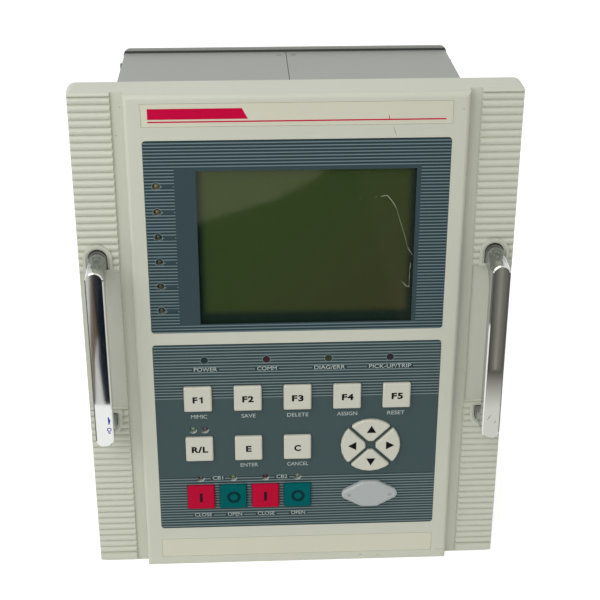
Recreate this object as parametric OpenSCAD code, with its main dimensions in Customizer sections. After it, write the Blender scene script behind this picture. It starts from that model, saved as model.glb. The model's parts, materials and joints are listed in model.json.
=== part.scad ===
// Draw-out protection relay for a switchgear panel: moulded front with display and keys, steel case behind.
// +X is to the right seen from the front, +Y goes into the panel and +Z is up.
// The plane y = 0 is the face of the panel. The bezel stands in front of it and the case goes behind it.

/* [Bezel] */
// Depth of the bezel, from the panel to the face of its raised middle
bezel_d = 26; // [24:0.5:32]
// Wall of the moulding's front
front_wall = 3; // [2.4:0.1:3.5]
// Wall of the moulding's sides
side_wall = 2.6; // [2:0.1:3.5]
// Face left free at each side of the overlays
side_margin = 9.4; // [7:0.2:14]
// Face left free above the top strip
head_margin = 5; // [4.6:0.1:12]
// Face left free under the bottom strip
foot_margin = 6.8; // [3.5:0.1:10]
// Face between two inlays
panel_gap = 7.9; // [7:0.1:14]
// Face between the keypad and the bottom strip
low_gap = 8.4; // [7:0.1:14]
// Radius along the front edges of the raised middle
block_r = 2.2; // [1:0.2:3]
// Radius of the upper outer corners
corner_top_r = 5; // [3:0.5:8]
// Radius of the lower outer corners
corner_low_r = 6.5; // [3:0.5:8]
// draft of each side wall, by which the open back is wider than the face
flare = 2.2; // [0:0.2:3]
// Width of the smooth channel beside the raised middle
channel_w = 6.9; // [5:0.1:12]

/* [Wings] */
// Width of each ribbed wing
wing_w = 23.1; // [20:0.1:30]
// How far the rib crests lie behind the face of the raised middle
wing_back = 5; // [3:0.5:7]
// Distance from one rib to the next
rib_pitch = 4.29; // [3:0.01:7]
// Depth of the grooves between ribs
rib_depth = 1.5; // [0.6:0.1:2]
// Plain edge above the first groove
rib_head = 2.5; // [2.4:0.1:8]
// Least plain edge under the last groove
rib_foot = 4; // [3:0.5:10]
// Depth of the plain recess behind each handle, from the rib crests
recess_deep = 1.8; // [1.6:0.1:3.6]

/* [Handles] */
// Length of the handle bar, end to end
handle_len = 111.3; // [90:0.1:130]
// Height of the handles' middle over the middle of the bezel
handle_up = 2.8; // [0:0.1:6]
// How far the handles lie outside the middle of the wings
handle_out = 0.8; // [0:0.1:1.2]
// Width of the handle bar
handle_w = 10.4; // [9:0.2:11]
// Thickness of the handle bar
handle_t = 8; // [6:0.5:10]
// Height of the bar's face over the rib crests
handle_high = 25; // [23:0.5:36]
// How much longer the handle is at its feet than at its face, at each end
handle_flare = 3; // [0:0.2:5]
// Height of each foot along the bar
foot_len = 11.6; // [10:0.2:14]
// Radius inside the handle's bends
bend_r = 10; // [4:0.5:11]
// Bevel round the face of the bar
handle_bevel = 0.7; // [0.4:0.1:2]
// Width of the raised rim round each foot
boss_rim = 1.7; // [1:0.1:2.4]
// Width of the sunk ledge inside that rim
boss_ledge = 1.15; // [0.6:0.05:1.6]
// Height of the rim over the rib crests
boss_high = 0.8; // [0.3:0.1:2]
// Radius of the handle screws
handle_screw_r = 2.5; // [2:0.5:3]

/* [Display] */
// Width of the display window
lcd_w = 121.7; // [110:0.1:135]
// Height of the display window
lcd_h = 93.5; // [80:0.1:105]
// Overlay to the left of the window
lcd_left = 28.3; // [26:0.1:40]
// Overlay to the right of the window
lcd_right = 18.3; // [16:0.1:30]
// Overlay above the window
lcd_drop = 17.5; // [14:0.1:25]
// Overlay under the window
lcd_foot = 5.1; // [3.6:0.1:12]
// Thickness of the overlays
overlay_t = 0.8; // [0.5:0.1:1.2]
// Corner radius of the overlays
overlay_r = 2; // [0.5:0.5:4]
// Thickness of the window pane
pane_t = 1.6; // [1:0.1:2]
// Thickness of the display cell
cell_t = 1.8; // [1.2:0.1:2.4]
// Depth of the display frame
lcd_frame_d = 7.6; // [5:0.2:9]
// Height of the top strip
top_strip_h = 12.8; // [8:0.1:18]
// Height of the bottom strip
low_strip_h = 12.8; // [8:0.1:18]
// Thickness of the strips
strip_t = 0.5; // [0.3:0.1:1]

/* [Keys] */
// Width of a key
key_w = 16.4; // [14:0.1:17.5]
// Height of a key
key_h = 16.4; // [14:0.1:20]
// How far the keys stand out of the overlay
key_high = 2; // [1.2:0.1:3]
// Travel of a key
key_travel = 1; // [0.4:0.1:1.2]
// From the overlay's left edge to the first column of keys
col_in = 25.2; // [20:0.1:32]
// Distance between columns
col_pitch = 29.47; // [28:0.05:31]
// From the keypad overlay's top edge to the function keys
row_drop = 35.7; // [30:0.1:40]
// Distance between rows
row_pitch = 34.4; // [31:0.1:38]
// From the last row to the keypad overlay's lower edge
row_foot = 22.9; // [20:0.1:30]
// Distance between breaker keys
breaker_pitch = 19.65; // [19.5:0.05:20.5]
// Radius of the arrow pad
pad_r = 18; // [16:0.1:19]
// Gap between two arrow keys
pad_slot = 2.2; // [2:0.1:3]
// From the pad's centre to the tip of each arrow key
pad_tip = 3.1; // [2.5:0.1:5]
// Gap round a key in its hole
key_gap = 0.25; // [0.15:0.05:0.35]

/* [Lamps] */
// Radius of a lamp
lamp_r = 1.9; // [1:0.1:2]
// From the display overlay's left edge to its lamps
lamp_in = 6.45; // [5:0.05:8]
// From the display overlay's top edge to its first lamp
lamp_drop = 26.1; // [20:0.1:30]
// Distance between the display lamps
lamp_pitch = 15.12; // [12:0.02:16]
// Distance between the lamps along the top of the keypad
status_pitch = 36.3; // [30:0.1:40]
// From the keypad overlay's top edge to those lamps
status_drop = 10.4; // [7:0.1:14]
// Height of the small lamps over the middle of the keys below them
lamp_over_key = 12.9; // [11:0.1:15]
// Distance between the two lamps of the mode key
mode_pitch = 7.2; // [5:0.1:10]

/* [Port] */
// Width of the port cover
cover_w = 34; // [32:0.2:40]
// Height of the port cover
cover_h = 18; // [17.6:0.2:22]
// Thickness of the port cover
cover_t = 2.8; // [2:0.1:4]
// How far the port lies under the last row of keys
port_drop = 0; // [0:0.1:3]
// Distance between the two jack screws
jack_pitch = 25; // [24:0.1:26]
// Width of the plug shell in the port
shell_w = 16.9; // [15:0.1:17.5]
// Height of the plug shell in the port
shell_h = 8.4; // [7:0.1:9]

/* [Case] */
// Depth of the case behind the panel
case_d = 150; // [140:1:190]
// How far the bezel overhangs the case at each side
overhang_x = 18; // [16:0.5:22]
// How far the bezel overhangs the case at top and bottom
overhang_z = 23.9; // [18:0.1:26]
// Sheet of the case
sheet = 1.5; // [1:0.1:2]
// Thickness of the mounting flange
flange_t = 2; // [1.5:0.1:2.5]
// Thickness of the rear plate
rear_t = 2; // [1.5:0.1:3]
// How far the rear plate stands out over the top and bottom of the case
rear_lip_z = 3; // [1:0.2:5]
// How far the rear plate stands out at the sides of the case
rear_lip_x = 0.8; // [0.2:0.1:3]
// Corner radius of the rear plate
rear_r = 4.5; // [2:0.5:8]
// Gap of the seam along the case
seam = 0.4; // [0.2:0.1:1]
// Width of the lips that the rear plate is screwed to
lip_w = 11; // [9:0.5:14]
// From the flange's side edges to the mounting studs
stud_edge = 5.95; // [5:0.05:7]
// From the flange's top and bottom edges to the mounting studs
stud_drop = 23.975; // [12:0.025:40]
// Radius of the mounting studs
stud_r = 2.5; // [2:0.5:3]
// Length of the mounting studs behind the panel
stud_len = 18; // [12:1:30]

/* [Terminals] */
// Terminals in each block
terminal_n = 12; // [6:1:16]
// Distance between terminals
terminal_pitch = 14; // [11:0.5:14]
// Width of a terminal block
terminal_w = 34; // [28:1:40]
// Depth of a terminal block
terminal_d = 18; // [14:1:24]
// Distance from the middle to each terminal block
terminal_x = 62; // [50:1:68]

/* [Unit] */
// Depth of the chassis, from the panel to its backplane
chassis_d = 112; // [100:1:118]
// Thickness of the printed boards
board_t = 1.6; // [1:0.2:2.4]
// Thickness of the front plate
plate_t = 1.5; // [1:0.1:2]
// Thickness of the gasket
gasket_t = 1.5; // [1:0.1:2]
// Thickness of the guide rails
rail_t = 4; // [3:0.5:6]
// Running gap between the chassis and the rails
slide_gap = 0.4; // [0.3:0.1:1]
// Depth of the draw-out plugs
plug_d = 14; // [10:1:18]

/* [Hidden] */
$fn = 48;
eps = 0.01;
seat = 0.15; // gap round an inlay
drill = 0.2; // gap round a screw
run = 0.3; // gap between parts that come apart
over = 1; // how far a cut runs past the face that it opens
skin = 0.1; // slice that a hull starts from

display_w = lcd_left + lcd_w + lcd_right;
display_h = lcd_drop + lcd_h + lcd_foot;
keypad_h = row_drop + 2 * row_pitch + row_foot;
block_w = display_w + 2 * side_margin;
bezel_w = block_w + 2 * (channel_w + wing_w);
strips_h = top_strip_h + low_strip_h;
bezel_h = head_margin + strips_h + 2 * panel_gap + low_gap + display_h + keypad_h
    + foot_margin;
half_w = bezel_w / 2;
back_half = half_w + flare;
back_w = 2 * back_half;
top = bezel_h / 2;

top_strip_z = top - head_margin - top_strip_h / 2;
low_strip_z = -top + foot_margin + low_strip_h / 2;
display_top = top - head_margin - top_strip_h - panel_gap;
display_z = display_top - display_h / 2;
keypad_top = display_top - display_h - panel_gap;
keypad_z = keypad_top - keypad_h / 2;
lcd_x = -display_w / 2 + lcd_left + lcd_w / 2;
lcd_z = display_top - lcd_drop - lcd_h / 2;

channel_step = 0.5;
wing_wall = 2.4;
rim_bevel = 0.8;
face_y = -bezel_d;
inner_y = face_y + front_wall;
rib_y = face_y + wing_back;
channel_y = rib_y + rib_depth + channel_step;
recess_y = rib_y + recess_deep;
wing_inner_y = recess_y + wing_wall;
wing_in = half_w - wing_w;
overlay_y = face_y + overlay_t;

handle_x = half_w - wing_w / 2 + handle_out;
handle_y = rib_y - handle_high;
base_half = handle_len / 2 + handle_flare;
arch_z = base_half - handle_w / 2;
boss_r = handle_w / 2 + run + boss_ledge + boss_rim;
foot_in = base_half - foot_len;
boss_flat = foot_in - run - boss_rim;
foot_sink = 3;
boss_pad_t = 3;
handle_seat_y = rib_y + foot_sink;
handle_pad_y = wing_inner_y + boss_pad_t;
tap_d = 9;

board_back = 6;
board_y = inner_y + board_back;
mat_t = 1.2;
mat_in = 7;
dome_r = 4;
key_flange_t = 1.5;
key_lip = 0.8;
key_bevel = 0.7;
key_round = 0.9;
key_back_y = inner_y + key_flange_t;
dome_y = key_back_y + key_travel + run;
lamp_foot = 0.4;
lamp_foot_t = 1.2;
lamp_tip = 0.4;
lamp_sink = 1.2;
lamp_board_w = 9;
lamp_end = 11;
lamp_post = 7;
stand_r = 2.2;
lamp_board_x = -display_w / 2 + lamp_in;
port_z = keypad_top - row_drop - 2 * row_pitch - port_drop;
pad_col = 3.5;
port_gap = 1.7;
port_lip = 0.7;
skirt_t = 0.9;
skirt_d = 2;
shell_t = 0.6;
shell_taper = 1.2;
pin_pitch = 2.76;
pin_row = 1.42;
pin_r = 0.6;
jack_r = 2.4;
cover_bevel = 1.3;
cover_end_r = 3.6;
cover_mid_r = 5;
cover_mid_x = cover_w * 0.1;
dimple_r = 1.2;
dimple_d = 0.6;

screw_r = 1.5;
head_r = 3;
head_t = 2;
plate_gap = 2;
flange_lip = 1;
plate_y = -flange_t - gasket_t;
plate_w = bezel_w - 2 * side_wall - 2 * plate_gap;
plate_h = bezel_h - 2 * side_wall - 2 * plate_gap;
case_w = bezel_w - 2 * overhang_x;
case_h = bezel_h - 2 * overhang_z;
inside_w = case_w - 2 * sheet;
inside_h = case_h - 2 * sheet;
flange_w = plate_w + 2 * flange_lip;
flange_h = plate_h + 2 * flange_lip;
stud_x = flange_w - 2 * stud_edge;
stud_z = flange_h - 2 * stud_drop;
stud_head_r = stud_r + 1;
rear_y = case_d - rear_t;
chassis_x = inside_w / 2 - rail_t - slide_gap;
chassis_drop = 8;
chassis_z = inside_h / 2 - chassis_drop;
backplane_y = chassis_d + board_t;
plug_y = backplane_y + plug_d;
post_r = 4;
post_in = 3.4;
post_up = 7.5;
post_hole = 12;
post_x = block_w / 2 - side_wall - post_in;
post_zs = [-inside_h / 2 + post_up, keypad_top + panel_gap / 2, inside_h / 2 - post_up];
board_gap = 1;
board_w = 2 * post_x - 2 * post_r - 2 * board_gap;
led_z_top = display_top - lamp_drop;
cpu_x = -chassis_x / 3;
io_x = chassis_x / 4;
power_x = chassis_x * 0.7;
bay_w = power_x - io_x;
card_y = 6;
card_d = chassis_d - card_y;
card_in = 15;
card_h = 2 * chassis_z - 2 * card_in;
chip_t = 3;
link_w = 8;
link_h = 40;

rib_n = floor((bezel_h - rib_head - rib_foot) / rib_pitch);
rib_start = top - rib_head - rib_n * rib_pitch;
rib_steps = [0, 0.1, 0.24, 0.4, 0.6, 0.76, 0.9];
rib_run = 0.7;
edge_r = 3;
wing_edge_r = 1.7;
low_edge_r = 3.2;

pane_edge = 2;
cell_edge = 1;
tin = 1;
lcd_seat = 6;
frame_w = lcd_w + 14;
frame_h = lcd_h + 10;
pane_y = overlay_y + pane_t;
cell_y = pane_y + cell_t;
frame_y = cell_y;

blade_w = 1;
blade_h = 6;
blade_len = 8;
blade_x = 5;
blade_gap = 0.5;
socket_gap = 0.5;
socket_w = 22;
plug_h = terminal_n * terminal_pitch;
terminal_base = terminal_d * 0.55;
terminal_fin = 1.8;
terminal_edge = 3;

slot_w = 3.2;
slot_l = 1.8;
slot_in = 4.6;
slot_back = 9;
rear_screw_in = 12;
side_screw_in = 13;
side_screw_up = 6;
rear_screw_spots = [for (s = [-1, 1], k = [-1:1])
    [s * (inside_w / 2 - lip_w / 2), k * (inside_h / 2 - rear_screw_in)]];
side_screw_y = rear_y - side_screw_in;
side_screw_zs = [for (s = [-1, 1]) s * (case_h / 2 - side_screw_up)];
earth_up = 20;
earth_z = -case_h / 2 + earth_up;
earth_r = 3;
earth_len = 14;
nut_r = 5.8;
nut_t = 4.5;
rail_h = 12;
rail_lead = 4;
rail_start = 2;

ivory = "#CDCDC0";
slate = "#44525A";
zinc = "#B9BDBE";
board_green = "#2F6B45";
black = "#26282A";

function col_x(i) = -display_w / 2 + col_in + i * col_pitch;
function row_z(j) = keypad_top - row_drop - j * row_pitch;
function breaker_x(i) = col_x(0) + i * breaker_pitch;

pad_x = col_x(pad_col);
pad_z = row_z(1);
port_x = col_x(pad_col);
jack_spots = [for (s = [-1, 1]) [s * jack_pitch / 2, 0]];

// square keys: function row, second row and breaker row
key_spots = concat([for (i = [0:4]) [col_x(i), row_z(0)]], [for (i = [0:2]) [col_x(i), row_z(1)]],
    [for (i = [0:3]) [breaker_x(i), row_z(2)]]);
display_lamp_spots = [for (i = [0:5]) [lamp_board_x, led_z_top - i * lamp_pitch]];
status_spots = [for (i = [-1.5:1:1.5]) [i * status_pitch, keypad_top - status_drop]];
mode_spots = [for (s = [-1, 1]) [col_x(0) + s * mode_pitch / 2, row_z(1) + lamp_over_key]];
breaker_spots = [for (i = [0:3]) [breaker_x(i), row_z(2) + lamp_over_key]];

// lamps with their tips near the face of the overlay, and lamps sunk a little deeper
green_tips = [status_spots[0], status_spots[2]];
red_tips = [status_spots[1], status_spots[3]];
green_sunk = [mode_spots[0], breaker_spots[1], breaker_spots[3]];
red_sunk = [mode_spots[1], breaker_spots[0], breaker_spots[2]];
keypad_lamps = concat(green_tips, red_tips, green_sunk, red_sunk);
mat_posts = [for (s = [-1, 1], z = [keypad_top - post_r, keypad_top - keypad_h + post_r])
    [s * (board_w / 2 - stand_r - board_gap), z]];
lamp_posts = [for (z = [led_z_top + lamp_post, led_z_top - 5 * lamp_pitch - lamp_post]) [lamp_board_x, z]];

// extrudes a front view outline from y0 back to y1
module from_front(y0, y1) {
    translate([0, y1, 0])
        rotate([90, 0, 0])
            linear_extrude(y1 - y0) children();
}

// extrudes a side view outline, drawn as y and z, from x0 to x1
module from_side(x0, x1) {
    translate([x0, 0, 0])
        rotate([90, 0, 90])
            linear_extrude(x1 - x0) children();
}

module box(w, h, y0, y1, x = 0, z = 0) {
    translate([x - w / 2, y0, z - h / 2])
        cube([w, y1 - y0, h]);
}

module rod(r, y0, y1, x = 0, z = 0) {
    translate([x, y1, z])
        rotate([90, 0, 0])
            cylinder(r = r, h = y1 - y0);
}

module rounded(w, h, r) {
    square([w - 2 * r, h], center = true);
    square([w, h - 2 * r], center = true);
    for (sx = [-1, 1], sz = [-1, 1])
        translate([sx * (w / 2 - r), sz * (h / 2 - r)]) circle(r = r);
}

module rounded_box(w, h, r, y0, y1, x = 0, z = 0) {
    translate([x, 0, z])
        from_front(y0, y1) rounded(w, h, r);
}

module rods(spots, r, y0, y1) {
    for (p = spots)
        rod(r, y0, y1, p[0], p[1]);
}

// one arrow key seen from the front, pointing along +X; grow makes its hole
module sector(grow = 0) {
    cut = pad_slot / sqrt(2) - grow * sqrt(2);
    tip = pad_tip - grow;
    far = pad_r + grow;
    intersection() {
        circle(r = far);
        polygon([[tip, cut - tip], [far, cut - far], [far, far - cut], [tip, tip - cut]]);
    }
}

module on_pad(turn) {
    translate([pad_x, 0, pad_z])
        rotate([0, -turn, 0]) children();
}

// holes for all keys, lamps and the port, cut through y0 to y1
module keypad_holes(y0, y1) {
    for (p = key_spots)
        box(key_w + 2 * key_gap, key_h + 2 * key_gap, y0, y1, p[0], p[1]);
    for (turn = [0:90:270])
        on_pad(turn) from_front(y0, y1) sector(key_gap);
    rods(keypad_lamps, lamp_r + seat, y0, y1);
    rounded_box(shell_w + 2 * port_gap, shell_h + 2 * port_gap, overlay_r, y0, y1, port_x, port_z);
    translate([port_x, 0, port_z])
        rods(jack_spots, jack_r + drill, y0, y1);
}

// outline of the whole bezel from the front, with two sizes of corner
module bezel_outline() {
    translate([0, (corner_low_r - corner_top_r) / 2])
        square([back_w, bezel_h - corner_top_r - corner_low_r], center = true);
    translate([corner_top_r - back_half, 0]) square([back_w - 2 * corner_top_r, top]);
    translate([corner_low_r - back_half, -top]) square([back_w - 2 * corner_low_r, top]);
    for (s = [-1, 1]) {
        translate([s * (back_half - corner_top_r), top - corner_top_r]) circle(r = corner_top_r);
        translate([s * (back_half - corner_low_r), corner_low_r - top]) circle(r = corner_low_r);
    }
}

// where the drafted side wall stands at a depth of y
function side_x(y) = half_w + flare * (1 - y / rib_y);

// side view of a ribbed wing: convex ribs with narrow grooves between them
module wing_side() {
    low_edge = [for (a = [0:30:90]) [rib_y + low_edge_r * (1 - sin(a)), -top + low_edge_r * (1 - cos(a))]];
    ribs = [for (k = [0:rib_n - 1], t = rib_steps)
        [rib_y + rib_depth * pow(2 * t - 1, 2), rib_start + (k + t) * rib_pitch]];
    groove = rib_start + rib_n * rib_pitch;
    high_edge = [for (a = [90:-22.5:0]) [rib_y + wing_edge_r * (1 - sin(a)), top - wing_edge_r * (1 - cos(a))]];
    back_y = wing_inner_y - over;
    polygon(concat([[back_y, -top]], low_edge, [[rib_y, rib_start - rib_run]], ribs,
        [[rib_y + rib_depth, groove], [rib_y, groove + rib_run]], high_edge, [[back_y, top]]));
}

// plan view of a wing: a bevel where the ribs end at the channel and a rounded outer edge
module wing_plan() {
    soft = rim_bevel * 0.28;
    polygon([[wing_in, 0], [wing_in, channel_y - channel_step], [wing_in + rim_bevel * 0.7, rib_y],
        [half_w - rim_bevel, rib_y], [half_w - soft, rib_y + soft],
        [side_x(rib_y + rim_bevel), rib_y + rim_bevel], [back_half, 0]]);
}

// arch with a round end up and a flat end down, centred on a handle's foot
module arch(r, flat_z) {
    translate([0, arch_z]) circle(r = r);
    translate([-r, flat_z]) square([2 * r, arch_z - flat_z]);
}

module at_feet(side) {
    for (s = [0, 1])
        translate([side * handle_x, 0, handle_up])
            mirror([0, 0, s]) children();
}

module wing() {
    intersection() {
        from_side(wing_in, back_half) wing_side();
        linear_extrude(bezel_h + 2, center = true) wing_plan();
    }
}

// plain recess behind a handle, open at the outer edge, with sloping ends
module recess() {
    slope = recess_deep * 0.55;
    translate([0, 0, handle_up])
        from_side(wing_in + rim_bevel / 2, back_half + over)
            polygon([[recess_y, boss_flat - slope], [rib_y - over, boss_flat], [rib_y - over, -boss_flat],
                [recess_y, slope - boss_flat]]);
}

module block() {
    intersection() {
        from_side(-block_w / 2, block_w / 2)
            union() {
                translate([face_y + block_r, -top]) square([bezel_d - block_r, bezel_h]);
                translate([face_y, block_r - top]) square([block_r, bezel_h - block_r - edge_r]);
                translate([face_y + block_r, block_r - top]) circle(r = block_r);
                translate([face_y + edge_r, top - edge_r]) circle(r = edge_r);
                translate([face_y + edge_r, top - edge_r]) square([edge_r, edge_r]);
            }
        linear_extrude(bezel_h, center = true)
            union() {
                translate([-block_w / 2, face_y + block_r]) square([block_w, bezel_d - block_r]);
                translate([block_r - block_w / 2, face_y]) square([block_w - 2 * block_r, bezel_d]);
                for (s = [-1, 1])
                    translate([s * (block_w / 2 - block_r), face_y + block_r]) circle(r = block_r);
            }
    }
}

module bezel_body() {
    intersection() {
        from_front(face_y - over, 0) bezel_outline();
        union() {
            linear_extrude(bezel_h, center = true)
                polygon([[-side_x(channel_y), channel_y], [side_x(channel_y), channel_y],
                    [back_half, 0], [-back_half, 0]]);
            block();
            for (s = [0, 1])
                mirror([s, 0, 0]) wing();
        }
    }
}

module inlay_pocket(w, h, z, depth, r) {
    rounded_box(w + 2 * seat, h + 2 * seat, r, face_y - over, face_y + depth, 0, z);
}

module bezel() {
    wall_back = inner_y + over;
    color(ivory)
        difference() {
            union() {
                difference() {
                    bezel_body();
                    for (s = [0, 1])
                        mirror([s, 0, 0]) recess();
                    box(bezel_w - 2 * side_wall, bezel_h - 2 * side_wall, wing_inner_y, over);
                    box(block_w - 2 * side_wall, bezel_h - 2 * side_wall, inner_y, over);
                    inlay_pocket(display_w, display_h, display_z, overlay_t, overlay_r);
                    inlay_pocket(display_w, keypad_h, keypad_z, overlay_t, overlay_r);
                    inlay_pocket(display_w, top_strip_h, top_strip_z, strip_t, seat);
                    inlay_pocket(display_w, low_strip_h, low_strip_z, strip_t, seat);
                    box(lcd_w + 2 * pane_edge, lcd_h + 2 * pane_edge, face_y, wall_back, lcd_x, lcd_z);
                    keypad_holes(face_y, wall_back);
                    rods(display_lamp_spots, lamp_r + seat, face_y, wall_back);
                }
                for (side = [-1, 1]) {
                    at_feet(side) from_front(rib_y - boss_high, wing_inner_y + eps) arch(boss_r, boss_flat);
                    at_feet(side) rod(boss_r - boss_rim, wing_inner_y - eps, handle_pad_y, 0, arch_z);
                }
                for (s = [-1, 1], z = post_zs)
                    rod(post_r, inner_y - eps, plate_y - plate_t, s * post_x, z);
                rods(mat_posts, stand_r, inner_y - eps, board_y);
                rods(lamp_posts, stand_r, inner_y - eps, board_y);
                for (sx = [-1, 1], sz = [-1, 1])
                    box(lcd_seat, lcd_seat, inner_y - eps, frame_y, lcd_x + sx * (frame_w - lcd_seat) / 2,
                        lcd_z + sz * (frame_h - lcd_seat) / 2);
            }
            for (side = [-1, 1])
                at_feet(side) {
                    from_front(rib_y - boss_high - over, rib_y) arch(boss_r - boss_rim, foot_in - run);
                    from_front(rib_y - over, handle_seat_y) arch(handle_w / 2 + run, foot_in - run);
                    rod(handle_screw_r + drill, handle_seat_y - over, handle_pad_y + over, 0, arch_z);
                }
            for (s = [-1, 1], z = post_zs)
                rod(screw_r, plate_y - plate_t - post_hole, plate_y, s * post_x, z);
        }
}

module top_strip() {
    color(ivory)
        box(display_w, top_strip_h, face_y, face_y + strip_t, 0, top_strip_z);
}

module bottom_strip() {
    color(ivory)
        box(display_w, low_strip_h, face_y, face_y + strip_t, 0, low_strip_z);
}

module display_overlay() {
    color(slate)
        difference() {
            rounded_box(display_w, display_h, overlay_r, face_y, overlay_y, 0, display_z);
            box(lcd_w, lcd_h, face_y - over, overlay_y + over, lcd_x, lcd_z);
            rods(display_lamp_spots, lamp_r + seat, face_y - over, overlay_y + over);
        }
}

module keypad_overlay() {
    color(slate)
        difference() {
            rounded_box(display_w, keypad_h, overlay_r, face_y, overlay_y, 0, keypad_z);
            keypad_holes(face_y - over, overlay_y + over);
        }
}

module window_pane() {
    color("#C8D0D0", 0.4)
        box(lcd_w + 2 * (pane_edge - seat), lcd_h + 2 * (pane_edge - seat), overlay_y, pane_y, lcd_x, lcd_z);
}

module display_cell() {
    color("#333D22")
        box(lcd_w + 2 * cell_edge, lcd_h + 2 * cell_edge, pane_y, cell_y, lcd_x, lcd_z);
}

// folded metal frame of the display, open at the back
module display_frame() {
    color(zinc)
        difference() {
            box(frame_w, frame_h, frame_y, frame_y + lcd_frame_d, lcd_x, lcd_z);
            box(frame_w - 2 * tin, frame_h - 2 * tin, frame_y + tin, frame_y + lcd_frame_d + over,
                lcd_x, lcd_z);
            box(lcd_w - 2 * pane_edge, lcd_h - 2 * pane_edge, frame_y - over, frame_y + tin + over,
                lcd_x, lcd_z);
        }
}

module lamp_board() {
    color(board_green)
        box(lamp_board_w, 5 * lamp_pitch + 2 * lamp_end, board_y, board_y + board_t, lamp_board_x,
            led_z_top - 2.5 * lamp_pitch);
}

// round-nosed lamps on their board, with a flange at the foot
module lamps(spots, tip_y) {
    nose_y = tip_y + lamp_r;
    rods(spots, lamp_r, nose_y, board_y);
    rods(spots, lamp_r + lamp_foot, board_y - lamp_foot_t, board_y);
    for (p = spots)
        translate([p[0], nose_y, p[1]]) sphere(r = lamp_r);
}

module display_lamps() {
    color("#6E6434")
        lamps(display_lamp_spots, face_y + lamp_tip);
}

module green_lamps() {
    color("#3E5B3A") {
        lamps(green_tips, face_y + lamp_tip);
        lamps(green_sunk, face_y + lamp_sink);
    }
}

module red_lamps() {
    color("#5A2A34") {
        lamps(red_tips, face_y + lamp_tip);
        lamps(red_sunk, face_y + lamp_sink);
    }
}

module keypad_board() {
    color(board_green)
        box(board_w, keypad_h - 2 * board_gap, board_y, board_y + board_t, 0, keypad_z);
}

// silicone mat with a dome under each key
module key_mat() {
    mat_y = board_y - mat_t;
    port_room = jack_r + port_gap;
    color("#8E9290")
        difference() {
            union() {
                box(board_w - 2 * mat_in, keypad_h - 2 * mat_in, mat_y, board_y, 0, keypad_z);
                rods(key_spots, dome_r, dome_y, mat_y + eps);
                for (turn = [0:90:270])
                    on_pad(turn) rod(dome_r * 0.75, dome_y, mat_y + eps, pad_r * 0.62, 0);
            }
            rods(keypad_lamps, lamp_r + 2 * lamp_foot, mat_y - over, board_y + over);
            box(jack_pitch + 2 * port_room, shell_h + 2 * port_room, mat_y - over, board_y + over,
                port_x, port_z);
        }
}

// nine-way port: flange behind the front wall and a D-shaped shell through it
module shell_outline(grow) {
    w = shell_w / 2 + grow;
    h = shell_h / 2 + grow;
    polygon([[-w, h], [w, h], [w - shell_taper, -h], [shell_taper - w, -h]]);
}

module port_shell() {
    color(zinc)
        translate([port_x, 0, port_z])
            difference() {
                union() {
                    from_front(face_y + lamp_tip, inner_y + eps) shell_outline(0);
                    box(jack_pitch + 2 * (jack_r + port_lip), shell_h + 2 * (port_gap + port_lip), inner_y,
                        inner_y + overlay_t);
                }
                from_front(face_y - over, inner_y + 2 * over) shell_outline(-shell_t);
                rods(jack_spots, screw_r + drill, inner_y - over, inner_y + 2 * over);
            }
}

module port_insert() {
    color(black)
        translate([port_x, 0, port_z])
            difference() {
                union() {
                    from_front(face_y + skirt_d, inner_y + overlay_t) shell_outline(-shell_t);
                    box(shell_w, shell_h, inner_y + overlay_t, board_y);
                }
                for (i = [-2:2])
                    rod(pin_r, face_y + over, inner_y - drill, i * pin_pitch, pin_row);
                for (i = [-1.5:1.5])
                    rod(pin_r, face_y + over, inner_y - drill, i * pin_pitch, -pin_row);
            }
}

// hexagonal jack screws, flush with the overlay
module jack_screws() {
    color(zinc)
        for (p = jack_spots)
            translate([port_x + p[0], 0, port_z])
                difference() {
                    union() {
                        translate([0, inner_y, 0]) rotate([90, 0, 0])
                            cylinder(r = jack_r, h = front_wall - run, $fn = 6);
                        rod(screw_r, inner_y - eps, inner_y + head_t);
                    }
                    rod(jack_r / 2, face_y - over, inner_y - pin_r);
                }
}

// push-on cover: a long hexagon with round corners, a bevelled edge and two dimples
module cover_outline(inset) {
    hull() {
        for (s = [-1, 1]) {
            translate([s * (cover_w / 2 - cover_end_r), 0]) circle(r = cover_end_r - inset, $fn = 32);
            for (t = [-1, 1])
                translate([s * cover_mid_x, t * (cover_h / 2 - cover_mid_r)])
                    circle(r = cover_mid_r - inset, $fn = 32);
        }
    }
}

module port_cover() {
    top_y = face_y - cover_t;
    grow = run + skirt_t;
    color("#B4BAB9")
        translate([port_x, 0, port_z]) {
            difference() {
                hull() {
                    from_front(top_y, top_y + skin) cover_outline(cover_bevel);
                    from_front(top_y + cover_bevel * 0.7, face_y) cover_outline(0);
                }
                rods(jack_spots, dimple_r, top_y - over, top_y + dimple_d);
            }
            difference() {
                rounded_box(shell_w + 2 * grow, shell_h + 2 * grow, overlay_r, face_y - eps, face_y + skirt_d);
                box(shell_w + 2 * run, shell_h + 2 * run, face_y - over, face_y + skirt_d + over);
            }
        }
}

// stadium seen from the front, longer by add and narrower by inset
module bar_outline(half, inset) {
    hull() {
        for (s = [-1, 1])
            translate([0, s * (half - handle_w / 2)]) circle(r = handle_w / 2 - inset, $fn = 32);
    }
}

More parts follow.
